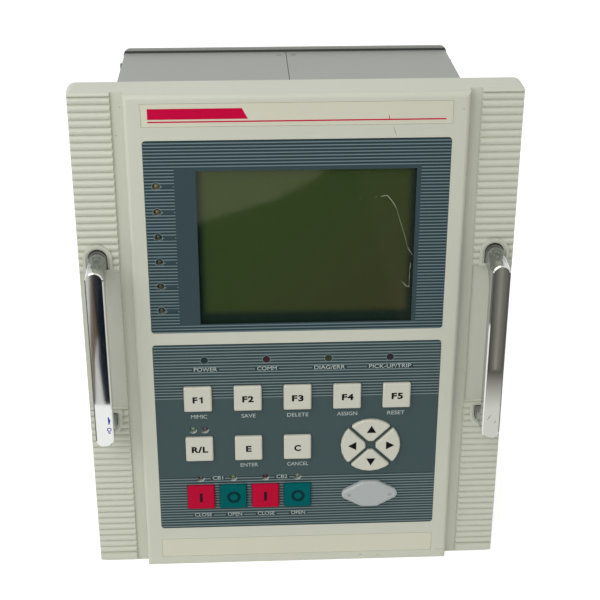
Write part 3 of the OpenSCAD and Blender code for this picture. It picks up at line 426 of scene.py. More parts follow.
def circuit_board(name, parts_from=None):
    """Solder resist over copper; solids past parts_from in x take the black of moulded components."""
    # Epoxy glass board: a green gloss with the tracks as slightly lighter lanes, drawn wide enough to show
    made, tree, shader, place = material(name, Roughness=0.35, IOR=1.55)
    turned = add(tree, "ShaderNodeMapping", {"Vector": place, "Rotation": (0, math.pi / 2, 0)})
    tones = {"Color1": colours().board, "Color2": linear("#2A603D"), "Mortar": linear("#4C8A5E")}
    lanes = {"Vector": turned.outputs[0], "Scale": 1 / (6 * MM), **tones}
    skin = add(tree, "ShaderNodeTexBrick", lanes, offset=0.37).outputs["Color"]
    if parts_from is not None:
        apart = add(tree, "ShaderNodeSeparateXYZ", {"Vector": place})
        past = add(tree, "ShaderNodeMath", {0: apart.outputs["X"], 1: parts_from}, operation="GREATER_THAN")
        split = {"Factor": past.outputs[0], "A": skin, "B": linear("#1D2023")}
        skin = add(tree, "ShaderNodeMix", split, data_type="RGBA").outputs["Result"]
    tree.links.new(skin, shader.inputs["Base Color"])
    return made


# Meshes for print, wear and threads


def put(name, data):
    """Adds an object to the scene."""
    item = bpy.data.objects.new(name, data)
    bpy.context.scene.collection.objects.link(item)
    return item


def piece(name, body, mesh_data, made):
    """Makes a finished piece from a bmesh: it rides on a body."""
    mesh = bpy.data.meshes.new(name)
    bmesh.ops.recalc_face_normals(mesh_data, faces=mesh_data.faces)
    mesh_data.to_mesh(mesh)
    mesh_data.free()
    mesh.materials.append(made)
    item = put(name, mesh)
    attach(item, body)


def prism(mesh_data, outline, face_y, height):
    """A thin closed plate on a front face; outline is a loop of (x, z) in millimetres."""
    back = [mesh_data.verts.new((x * MM, face_y, z * MM)) for x, z in outline]
    front = [mesh_data.verts.new((x * MM, face_y - height, z * MM)) for x, z in outline]
    mesh_data.faces.new(front)
    mesh_data.faces.new(back[::-1])
    for i in range(len(outline)):
        j = (i + 1) % len(outline)
        mesh_data.faces.new((front[i], back[i], back[j], front[j]))


def circle(x, z, radius, steps):
    """Outline of a circle."""
    turn = [2 * math.pi * k / steps for k in range(steps)]
    return [(x + radius * math.cos(a), z + radius * math.sin(a)) for a in turn]


def hoop(mesh_data, x, z, outer, inner, face_y, height, steps=40):
    """A thin closed ring on a front face, sizes in millimetres."""
    loops = []
    for radius, y in ((outer, face_y), (outer, face_y - height), (inner, face_y - height), (inner, face_y)):
        loops.append([mesh_data.verts.new((u * MM, y, w * MM)) for u, w in circle(x, z, radius, steps)])
    for one, two in zip(loops, loops[1:] + loops[:1]):
        for i in range(steps):
            j = (i + 1) % steps
            mesh_data.faces.new((one[i], one[j], two[j], two[i]))


def crescent(mesh_data, x, z, radius, width, first, last, face_y, height, steps=18):
    """A thin tapering arc on a front face between two angles in degrees, sizes in millimetres."""
    outer, inner = [], []
    for k in range(steps + 1):
        a = math.radians(first + (last - first) * k / steps)
        thin = radius - width * math.sin(math.pi * k / steps)
        outer.append((x + radius * math.cos(a), z + radius * math.sin(a)))
        if 0 < k < steps:
            inner.append((x + thin * math.cos(a), z + thin * math.sin(a)))
    prism(mesh_data, outer + inner[::-1], face_y, height)


def islands(node):
    """Centres of the separate solids of a node seen from the front, left to right, as (x, z) in mm."""
    solids = bmesh.new()
    solids.from_mesh(NODES[node].data)
    bmesh.ops.remove_doubles(solids, verts=solids.verts, dist=MM / 1000)
    left, centres = set(solids.verts), []
    while left:
        group, edge = set(), [left.pop()]
        while edge:
            vert = edge.pop()
            group.add(vert)
            near = {link.other_vert(vert) for link in vert.link_edges} & left
            left -= near
            edge.extend(near)
        spans = [(min(v.co[i] for v in group), max(v.co[i] for v in group)) for i in (0, 2)]
        centres.append([sum(span) / 2 / MM for span in spans])
    solids.free()
    return sorted(centres)


def block(x0, x1, z0, z1):
    """Outline of an upright rectangle."""
    return [(x0, z0), (x1, z0), (x1, z1), (x0, z1)]


def ribbon(points, width):
    """Outline of a mark that follows points and tapers to its ends."""
    left, right = [], []
    for i, (x, z) in enumerate(points):
        ahead = Vector(points[min(i + 1, len(points) - 1)]) - Vector(points[max(i - 1, 0)])
        side = Vector((-ahead.y, ahead.x)).normalized() * width / 2
        side *= 0.35 if i in (0, len(points) - 1) else 1
        left.append((x + side.x, z + side.y))
        right.append((x - side.x, z - side.y))
    return left + right[::-1]


def write(mesh_data, text, x, z, width, height, face_y, proud, weight, spacing=1.0):
    """Adds upright capitals centred at (x, z) on a front face, fitted to a width and a height in mm."""
    curve = bpy.data.curves.new("word", "FONT")
    curve.extrude = 0.5
    curve.offset = weight
    curve.space_character = spacing
    curve.resolution_u = 4
    spans = []
    for body in ("H", text):
        curve.body = body
        holder = put("word", curve)
        bpy.context.view_layer.update()
        mesh = bpy.data.meshes.new_from_object(holder.evaluated_get(bpy.context.evaluated_depsgraph_get()))
        us = [v.co.x for v in mesh.vertices]
        vs = [v.co.y for v in mesh.vertices]
        spans.append((min(us), max(us), min(vs), max(vs)))
        bpy.data.objects.remove(holder)
        if body is not text:
            bpy.data.meshes.remove(mesh)
    bottom, top = spans[0][2:]
    first, last = spans[1][:2]
    rise = height / (top - bottom)
    run = width / (last - first)
    for v in mesh.vertices:
        u, w, d = v.co
        v.co = (
            (x + (u - (first + last) / 2) * run) * MM,
            face_y - (d + 0.5) * proud,
            (z + (w - (bottom + top) / 2) * rise) * MM,
        )
    mesh_data.from_mesh(mesh)
    bpy.data.meshes.remove(mesh)
    bpy.data.curves.remove(curve)


def figure_one(x, z, width, height):
    """Outline of a figure one with a flag, centred at (x, z)."""
    left, right, low, high = x - width / 2, x + width / 2, z - height / 2, z + height / 2
    stem = right - 0.48 * width
    return [
        (right, low), (right, high), (right - 0.32 * width, high),
        (stem - 0.12 * width, high - 0.13 * height), (left, high - 0.2 * height),
        (left, high - 0.36 * height), (stem, high - 0.3 * height), (stem, low),
    ]


def helix(mesh_data, x, z, radius, y0, y1, pitch, depth, steps=24):
    """A thread ridge along Y round a stud, sizes in millimetres."""
    count = int(steps * (y1 - y0) / pitch)
    flank, root = 0.42 * pitch, radius - 0.1
    rows = []
    for k in range(count + 1):
        a = 2 * math.pi * k / steps
        y = y0 + pitch * k / steps
        rows.append(
            [
                mesh_data.verts.new(((x + r * math.cos(a)) * MM, (y + s) * MM, (z + r * math.sin(a)) * MM))
                for r, s in ((root, -flank), (radius + depth, 0), (root, flank))
            ]
        )
    for one, two in zip(rows, rows[1:]):
        for i in range(3):
            j = (i + 1) % 3
            mesh_data.faces.new((one[i], one[j], two[j], two[i]))
    mesh_data.faces.new(rows[0])
    mesh_data.faces.new(rows[-1][::-1])


class RelayOperator:
    bl_options = {"REGISTER", "UNDO"}


class RELAY_OT_mouldings(RelayOperator, bpy.types.Operator):
    """Dresses the front frame and its strips, and prints the crimson band and line"""

    bl_idname = "relay.mouldings"
    bl_label = "Frame and strips"

    def execute(self, context):
        dress(ivory_abs(), "bezel")
        dress(cream_film(), "top_strip", "bottom_strip")
        crimson = ink("screen_printed_crimson_ink", colours().crimson)
        proud = sizes().print_height
        in_left, in_right, line_up, gap = 3.5, 3.6, 2.7, 1.0
        left, right = STRIP_LOW.x / MM + in_left, STRIP_HIGH.x / MM - in_right
        line_z = STRIP_LOW.z / MM + line_up
        line_h, band_h = sizes().line_height / MM, sizes().band_height / MM
        marks = bmesh.new()
        prism(marks, block(left, right, line_z - line_h / 2, line_z + line_h / 2), FACE_Y, proud)
        foot = line_z + line_h / 2 + gap
        band_end, slant = -26.7, 3.2
        outline = [(left, foot), (band_end, foot), (band_end - slant, foot + band_h), (left, foot + band_h)]
        prism(marks, outline, FACE_Y, proud)
        piece("strip_band", "unit", marks, crimson)
        return {"FINISHED"}


class RELAY_OT_films(RelayOperator, bpy.types.Operator):
    """Prints the striped films, the rings round the lamps and the words beside lamps and keys"""

    bl_idname = "relay.films"
    bl_label = "Films and words"

    def execute(self, context):
        tone, size = colours(), sizes()
        window_ground = (0.3 * MM, 63.4 * MM, 68.0 * MM, 47.9 * MM)
        display = striped_film(
            "printed_display_film", tone.display_plain, tone.display_light, tone.display_dark,
            size.display_pitch, 68.25 * MM, window_ground,
        )
        dress(display, "display_overlay")
        key_ground, low_stripes = (0, -60.4 * MM, 90 * MM, 27.1 * MM), (-60 * MM, -0.42)
        keypad = striped_film(
            "printed_keypad_film", tone.keypad_plain, tone.keypad_light, tone.keypad_dark,
            size.keypad_pitch, -13.75 * MM, key_ground, low_stripes,
        )
        dress(keypad, "keypad_overlay")
        pale = ink("screen_printed_pale_ink", tone.pale_ink)
        proud = size.print_height
        word_h = size.word_height / MM
        status_z, status_xs = KEYPAD_TOP - 10.4, (-54.45, -18.15, 18.15, 54.45)
        low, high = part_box("display_lamps")
        foot = (high.x - low.x) / 2
        step = (high.z - low.z - 2 * foot) / 5
        spots = [((low.x + foot) / MM, (high.z - foot - step * i) / MM) for i in range(6)]
        rings = bmesh.new()
        outer = (size.ring_radius + size.ring_width / 2) / MM
        inner = (size.ring_radius - size.ring_width / 2) / MM
        for x, z in spots + [(x, status_z) for x in status_xs]:
            hoop(rings, x, z, outer, inner, FACE_Y, proud)
        # Tinted caps over the holes of the status lamps: dark, with a small clear highlight
        cap_r, steps = 2.1, 28
        tints = ("#0C2E2A", "#34161A", "#26341A", "#1F1A22")
        for k, (x, code) in enumerate(zip(status_xs, tints), 1):
            cap = bmesh.new()
            prism(cap, circle(x, status_z, cap_r, steps), FACE_Y, proud)
            tinted = grained("tinted_acrylic_cap_%d" % k, linear(code), 0.8, 0.004, 0.15, 3, Roughness=0.2)
            piece("status_cap_%d" % k, "unit", cap, tinted)
        piece("lamp_rings", "unit", rings, ink("screen_printed_grey_ink", tone.grey_ink))
        grounds = bmesh.new()
        start, end, tall = 3.3, 9.3, 1.15
        for x, z in spots:
            prism(grounds, block(x + start, x + end, z - tall, z + tall), FACE_Y, proud / 2)
        slate = ink("plain_slate_ink", tone.display_plain)
        piece("lamp_label_grounds", "unit", grounds, slate)
        # Heights of the rows of words, off the lamps and keys that they name
        status, breaker = status_z - 6.0, middle("key_open_1")[1]
        function, second = middle("key_f1")[1] - 12.5, middle("key_enter")[1] - 12.45
        over, under = breaker + 13.0, breaker - 13.6
        # Each word with its place across and up, and its width, in millimetres
        rows = [
            ("POWER", -53.9, status, 13.7), ("COMM", -17.9, status, 11.5),
            ("DIAG/ERR", 18.9, status, 18.1), ("PICK-UP/TRIP", 54.6, status, 24.9),
            ("MIMIC", -58.6, function, 9.6), ("SAVE", -29.2, function, 8.4), ("DELETE", 0.2, function, 12.7),
            ("ASSIGN", 29.7, function, 12.1), ("RESET", 59.0, function, 10.3),
            ("ENTER", -29.2, second, 10.6), ("CANCEL", 0.2, second, 12.8),
            ("CB1", -48.5, over, 6.3), ("CB2", -9.5, over, 6.6),
            ("CLOSE", -58.0, under, 10.5), ("CLOSE", -19.3, under, 10.5),
            ("OPEN", -38.6, under, 8.8), ("OPEN", 0.4, under, 8.8),
        ]
        words, gaps = bmesh.new(), bmesh.new()
        weight, clear, half = 0.006, 1.2, size.keypad_pitch / MM * 0.45
        for text, x, z, width in rows:
            write(words, text, x, z, width, word_h, FACE_Y, proud, weight)
            if z in (function, second):
                continue
            # A word among the stripes stands on a dark ground that breaks them
            side = width / 2 + clear
            prism(gaps, block(x - side, x + side, z - half, z + half), FACE_Y, proud / 2)
        piece("film_words", "unit", words, pale)
        piece("word_grounds", "unit", gaps, ink("dark_slate_ink", tone.keypad_dark))
        return {"FINISHED"}


class RELAY_OT_window(RelayOperator, bpy.types.Operator):
    """Dresses the window pane and the display behind it, and scratches the pane"""

    bl_idname = "relay.window"
    bl_label = "Window and display"

    def execute(self, context):
        dress(clear_acrylic(), "window_pane")
        pane = NODES["window_pane"]
        pane.visible_shadow = False
        pane.visible_diffuse = False
        dress(liquid_crystal(), "display_cell")
        scratch = bmesh.new()
        # Each stroke's width and the points that it follows, in millimetres
        strokes = [
            (0.5, [(46.2, 92.6), (47.4, 93.0), (49.77, 93.4), (52.08, 90.73), (54.2, 87.5), (55.23, 85.4)]),
            (0.24, [(55.23, 85.4), (56.52, 81.05), (60.74, 67.99), (62.08, 62.23)]),
            (0.45, [(62.08, 62.23), (63.2, 60.2), (65.29, 56.86)]),
            (0.4, [(64.35, 52.25), (64.2, 49.6), (64.0, 48.2)]),
            (0.24, [(64.0, 48.2), (63.93, 43.06), (63.95, 39.0)]),
            (0.55, [(63.95, 39.2), (63.91, 37.16), (62.19, 37.86), (59.78, 40.62)]),
            (0.4, [(34.6, 91.9), (35.0, 91.8), (35.4, 91.9)]),
            (0.35, [(43.1, 92.3), (43.5, 92.4), (43.9, 92.3)]),
        ]
        for width, points in strokes:
            prism(scratch, ribbon(points, width), PANE_Y, FILM)
        # A scored line in acrylic: its torn edge scatters light and reads as a pale matt thread
        torn = ink("scored_acrylic", linear("#8E957E"), 0.7)
        piece("window_scratch", "unit", scratch, torn)
        return {"FINISHED"}


class RELAY_OT_keys(RelayOperator, bpy.types.Operator):
    """Dresses the keys and prints their letters, arrows and signs"""

    bl_idname = "relay.keys"
    bl_label = "Keys"

    def execute(self, context):
        tone, size = colours(), sizes()
        # Moulded key caps under a hard coat: even colour, a satin sheen, edges worn smooth
        ivory = grained("moulded_ivory_key", tone.key[:], 0.5, 0.008, 0.02, Roughness=0.4, IOR=1.55)
        sheen = {"Roughness": 0.42, "Specular_IOR_Level": 0.03}
        red = grained("moulded_crimson_key", tone.key_red[:], 0.5, 0.008, 0.04, **sheen)
        green = grained("moulded_green_key", tone.key_green[:], 0.5, 0.008, 0.04, **sheen)
        black = ink("screen_printed_black_ink", tone.black_ink)
        deep_red = ink("overprinted_dark_red_ink", linear("#33101F"))
        deep_green = ink("overprinted_dark_green_ink", linear("#022E33"))
        proud, letter_h, bold, spread = size.print_height, size.letter_height / MM, 0.042, 1.12
        # Each key's letters, how far they stand right of its centre and above it, and their width
        letters = [
            ("key_f1", "F1", 0.0, -0.1, 2.9), ("key_f2", "F2", 0.1, -0.1, 6.8),
            ("key_f3", "F3", 0.1, -0.15, 6.9), ("key_f4", "F4", 0.3, -0.1, 7.0),
            ("key_f5", "F5", 0.3, -0.05, 6.8), ("key_mode", "R/L", 0.2, 0.1, 9.8),
            ("key_enter", "E", 0.1, 0.0, 3.4), ("key_cancel", "C", 0.0, -0.2, 4.0),
        ]
        for node, text, aside, up, width in letters:
            dress(ivory, node)
            x, z = middle(node)
            mark = bmesh.new()
            if text == "F1":
                # The one is drawn, with a flag that the font's lacks; the width is the letter's own
                f_left, one_right, one_w = 1.65, 1.8, 2.2
                write(mark, "F", x + aside - f_left, z + up, width, letter_h, KEY_Y, proud, bold)
                prism(mark, figure_one(x + aside + one_right, z + up, one_w, letter_h), KEY_Y, proud)
            else:
                write(mark, text, x + aside, z + up, width, letter_h, KEY_Y, proud, bold, spread)
            piece(node + "_letter", node + "_cap", mark, black)
        half = size.arrow / MM / 2
        centre_x = (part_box("key_left")[0].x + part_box("key_right")[1].x) / 2 / MM + 0.3
        centre_z = middle("key_left")[1] + 0.2
        out, reach = 11.5, 0.88 * half
        aims = {"key_up": (0, 1), "key_down": (0, -1), "key_left": (-1, 0), "key_right": (1, 0)}
        for node, (aim_x, aim_z) in aims.items():
            dress(ivory, node)
            x, z = centre_x + out * aim_x, centre_z + out * aim_z
            tip = (x + aim_x * reach, z + aim_z * reach)
            foot_x, foot_z = x - aim_x * reach, z - aim_z * reach
            base = [(foot_x - s * aim_z * half, foot_z + s * aim_x * half) for s in (1, -1)]
            mark = bmesh.new()
            prism(mark, [tip] + base, KEY_Y, proud)
            piece(node + "_arrow", node + "_cap", mark, black)
        wide, tall, up = size.sign_bar / MM / 2, size.sign_bar / MM * 1.7, 0.15
        outer, stroke, aside = size.sign_ring / MM / 2, 1.9, 0.3
        for node in ("key_close_1", "key_close_2", "key_open_1", "key_open_2"):
            closing = "close" in node
            dress(red if closing else green, node)
            x, z = middle(node)
            mark = bmesh.new()
            if closing:
                prism(mark, block(x - wide, x + wide, z + up - tall, z + up + tall), KEY_Y, proud)
                piece(node + "_sign", node + "_cap", mark, deep_red)
            else:
                hoop(mark, x + aside, z, outer, outer - stroke, KEY_Y, proud)
                piece(node + "_sign", node + "_cap", mark, deep_green)
        return {"FINISHED"}


class RELAY_OT_lamps(RelayOperator, bpy.types.Operator):
    """Gives each unlit lamp the colour of its lens"""

    bl_idname = "relay.lamps"
    bl_label = "Lamps"

    def execute(self, context):
        amber = [
            (25.2, "#2E3420"), (40.3, "#2E3420"), (55.4, "#30361F"), (70.5, "#2E3622"), (85.7, "#5E5A2E"),
            (100.8, "#6A6434"),
        ]
        green = [
            (-89.7, "#7E9A7A"), (-83.7, "#6E8E62"), (-58.2, "#16241C"), (-44.4, "#8A9688"),
            (14.4, "#2A3A22"),
        ]
        red = [
            (-103.3, "#5E5468"), (-82.5, "#5E5468"), (-64.0, "#4A1C28"), (-21.9, "#3A1E1E"),
            (50.7, "#1E1820"),
        ]
        dress(lamp_lens("diffused_epoxy_amber_lens", amber, 0.0, 1.0), "display_lamps")
        dress(lamp_lens("diffused_epoxy_green_lens", green), "green_lamps")
        dress(lamp_lens("diffused_epoxy_red_lens", red), "red_lamps")
        # Painted highlight: a pale crescent on the film stands for the wall of a sunk lamp's hole catching
        # the light along its low side; the status lamps have caps
        painted_highlights = bmesh.new()
        hole_r, shine, first, last, status_row = 2.42, 0.62, -150, 20, 30
        for node in ("green_lamps", "red_lamps"):
            for x, z in islands(node):
                if z < KEYPAD_TOP - status_row:
                    crescent(painted_highlights, x, z, hole_r, shine, first, last, FACE_Y, sizes().print_height)
        piece("lamp_hole_painted_highlights", "unit", painted_highlights, ink("painted_hole_wall_highlight", linear("#B4BCB4")))
        return {"FINISHED"}


class RELAY_OT_port(RelayOperator, bpy.types.Operator):
    """Dresses the front port and its cover"""

    bl_idname = "relay.port"
    bl_label = "Port and cover"

    def execute(self, context):
        # Moulded ABS with a little aluminium flake: a silvery grey with a soft shine
        silver = grained("moulded_silver_grey_abs", colours().cover[:], 0.3, 0.006, 0.04, Roughness=0.38)
        dress(silver, "port_cover")
        # Nickel on drawn steel: much like zinc to the eye
        dress(zinc_plate("bright_nickel_plated_shell"), "port_shell", "jack_screws")
        # Glass-filled polyester: black, with a dull even sheen
        black = grained("moulded_black_polyester", linear("#1E2022"), 0.5, 0.01, 0.1, Roughness=0.5)
        dress(black, "port_insert")
        return {"FINISHED"}


class RELAY_OT_handles(RelayOperator, bpy.types.Operator):
    """Dresses the plated handles and the screws behind them"""

    bl_idname = "relay.handles"
    bl_label = "Handles"

    def execute(self, context):
        dress(chrome_plate(), "handle_left", "handle_right")
        dress(zinc_plate("zinc_plated_handle_screw"), "handle_screws")
        return {"FINISHED"}


class RELAY_OT_case(RelayOperator, bpy.types.Operator):
    """Dresses the fixed case, its flange, studs and rear terminals"""

    bl_idname = "relay.case"
    bl_label = "Case"

    def execute(self, context):
        # Stoved paint on sheet steel: low sheen with a fine orange peel
        paint = grained("stoved_grey_paint", colours().case[:], 1.4, 0.02, 0.03, Roughness=0.48)
        dress(paint, "case_left", "case_right", "rear_plate")
        zinc = zinc_plate()
        dress(zinc, "mounting_flange", "mounting_studs", "terminal_screws")
        # Phenolic moulding: a hard black with a low gloss
        black = grained("moulded_black_phenolic", linear("#232527"), 0.6, 0.012, 0.1, Roughness=0.46)
        dress(black, "terminal_blocks", "case_sockets")
        # Chemical black on steel: dark and faintly glossy
        screw = grained("blackened_steel_screw", linear("#232527"), 0.6, 0.006, 0.1, Roughness=0.4)
        dress(screw, "case_screws")
        # Turned brass, dulled in store
        brass = grained("turned_brass", linear("#B59A52"), 0.5, 0.01, 0.08, Metallic=1.0, Roughness=0.35)
        dress(brass, "earth_stud")
        # Natural nylon strip: milky white with a waxy sheen
        nylon = grained("moulded_natural_nylon", linear("#D8D8D2"), 0.8, 0.01, 0.03, Roughness=0.5)
        dress(nylon, "guide_rails")
        # Painted shadow: the dark shadow line along the joint between the case and its rear plate, drawn as a
        # thin matt bead
        joint_shadow = bmesh.new()
        ends, sides, thick = 1.5, 0.5, 0.3 * MM
        low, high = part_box("case_left")[0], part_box("case_right")[1]
        x0, x1, z0, z1 = low.x / MM, high.x / MM, low.z / MM, high.z / MM
        joint_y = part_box("rear_plate")[0].y
        for outline in (
            block(x0, x1, z1, z1 + ends), block(x0, x1, z0 - ends, z0),
            block(x0 - sides, x0, z0, z1), block(x1, x1 + sides, z0, z1),
        ):
            prism(joint_shadow, outline, joint_y, thick)
        # Painted shadow: a dark matt colour where the joint lies in shade
        painted_shadow = grained("painted_joint_shadow", linear("#3A3C39"), 0.8, 0.02, 0.1, Roughness=0.7)
        piece("rear_joint_painted_shadow", "case", joint_shadow, painted_shadow)
        threads = bmesh.new()
        stud_x, stud_z, stud_r, ridge = 114.0, 125.0, 2.5, 0.16
        start, end = 3.0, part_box("mounting_studs")[1].y / MM - 0.6
        for x in (-stud_x, stud_x):
            for z in (-stud_z, stud_z):
                helix(threads, x, z, stud_r, start, end, sizes().thread_pitch / MM, ridge)
        piece("stud_threads", "case", threads, zinc)
        return {"FINISHED"}


class RELAY_OT_inside(RelayOperator, bpy.types.Operator):
    """Dresses the draw-out unit behind the front: chassis, boards, plugs and seals"""

    bl_idname = "relay.inside"
    bl_label = "Inside"

    def execute(self, context):
        zinc = zinc_plate("zinc_plated_chassis")
        dress(zinc, "front_plate", "bezel_screws", "chassis_left", "chassis_right", "display_frame")
        board = circuit_board("solder_resist_board")
        dress(board, "lamp_board", "keypad_board", "backplane", "power_board")
        board_t = 1.7 * MM
        for node in ("cpu_board", "output_board"):
            dress(circuit_board("solder_resist_" + node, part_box(node)[0].x + board_t), node)
        # Nylon moulding: black and slightly waxy
        black = grained("moulded_black_nylon", linear("#26282A"), 0.6, 0.01, 0.1, Roughness=0.5)
        dress(black, "unit_plugs", "board_link", "power_parts")
        # Closed-cell rubber and silicone: matt, with no highlight to speak of
        dress(grained("cut_black_rubber", linear("#232425"), 1.2, 0.05, 0.12, Roughness=0.8), "gasket")
        dress(grained("moulded_grey_silicone", linear("#8E9290"), 0.8, 0.02, 0.05, Roughness=0.7), "key_mat")
        return {"FINISHED"}


class RELAY_OT_wear(RelayOperator, bpy.types.Operator):
    """Adds the marks that handling has left on the front"""

    bl_idname = "relay.wear"
    bl_label = "Wear"

    def execute(self, context):
        proud = sizes().print_height / 2
        # The points and widths of all marks are in millimetres
        # A tick of smeared ink over the strip's line: thin and matt
        tick = bmesh.new()
        prism(tick, ribbon([(49.7, 137.0), (49.6, 138.6), (49.5, 140.0)], 0.45), FACE_Y, proud)
        piece("strip_ink_tick", "unit", tick, ink("smeared_crimson_ink", colours().crimson))
        # A hair scratch under it: the dirt in it makes a dull grey thread
        marks = bmesh.new()
        prism(marks, ribbon([(52.2, 133.5), (52.8, 130.8), (54.0, 127.8)], 0.25), FACE_Y, proud)
        piece("frame_hair_scratch", "unit", marks, ink("soiled_scratch", linear("#6A6A5E")))
        # Pen ink at the foot of the left handle: blue, and it hides the shine
        rub = bmesh.new()
        prism(rub, ribbon([(-110.1, -32.4), (-109.6, -35.0), (-109.9, -37.6)], 1.5), BAR_Y, FILM)
        hoop(rub, -109.9, -40.9, 1.35, 0.75, BAR_Y, FILM)
        prism(rub, ribbon([(-110.6, -42.4), (-109.9, -43.3), (-109.0, -43.1)], 1.0), BAR_Y, FILM)
        piece("handle_ink_marks", "unit", rub, ink("blue_pen_ink", linear("#3F4DA6")))
        # Nicks through the plating of the right handle: the metal in them is dull and dark
        nicks = bmesh.new()
        for points in (
            [(110.2, -40.2), (111.3, -38.4), (112.4, -36.9)],
            [(114.4, -42.6), (115.0, -41.6), (115.5, -40.5)],
        ):
            prism(nicks, ribbon(points, 0.35), BAR_Y, FILM)
        piece("handle_nicks", "unit", nicks, ink("exposed_base_metal", linear("#4E4A42")))
        # Specks of ground-in dirt, matt and brownish, on the raised middle and then in the left channel
        soil = bmesh.new()
        for (x, z), reach, tall in (
            ((39.9, -148.2), 1.3, 0.35), ((50.9, -148.7), 1.2, 0.22), ((91.1, -149.6), 0.35, 0.5),
            ((89.8, 142.7), 0.5, 0.4),
        ):
            prism(soil, ribbon([(x - reach, z), (x, z + 0.05), (x + reach, z)], tall), FACE_Y, proud)
        for x, z in ((-95.5, 144.0), (-98.3, 128.0)):
            prism(soil, ribbon([(x - 0.4, z + 0.2), (x, z), (x + 0.4, z - 0.1)], 0.5), CHANNEL_Y, proud)
        piece("frame_soil_specks", "unit", soil, ink("ground_in_dirt", linear("#8A8674")))
        # A rub of red at the lower right, so thin that the ivory shows through
        rosy = bmesh.new()
        prism(rosy, ribbon([(86.9, -145.6), (89.6, -145.8), (92.0, -145.6)], 0.4), FACE_Y, proud)
        piece("frame_red_rub", "unit", rosy, ink("rubbed_red_ink", linear("#B79A8C")))
        return {"FINISHED"}


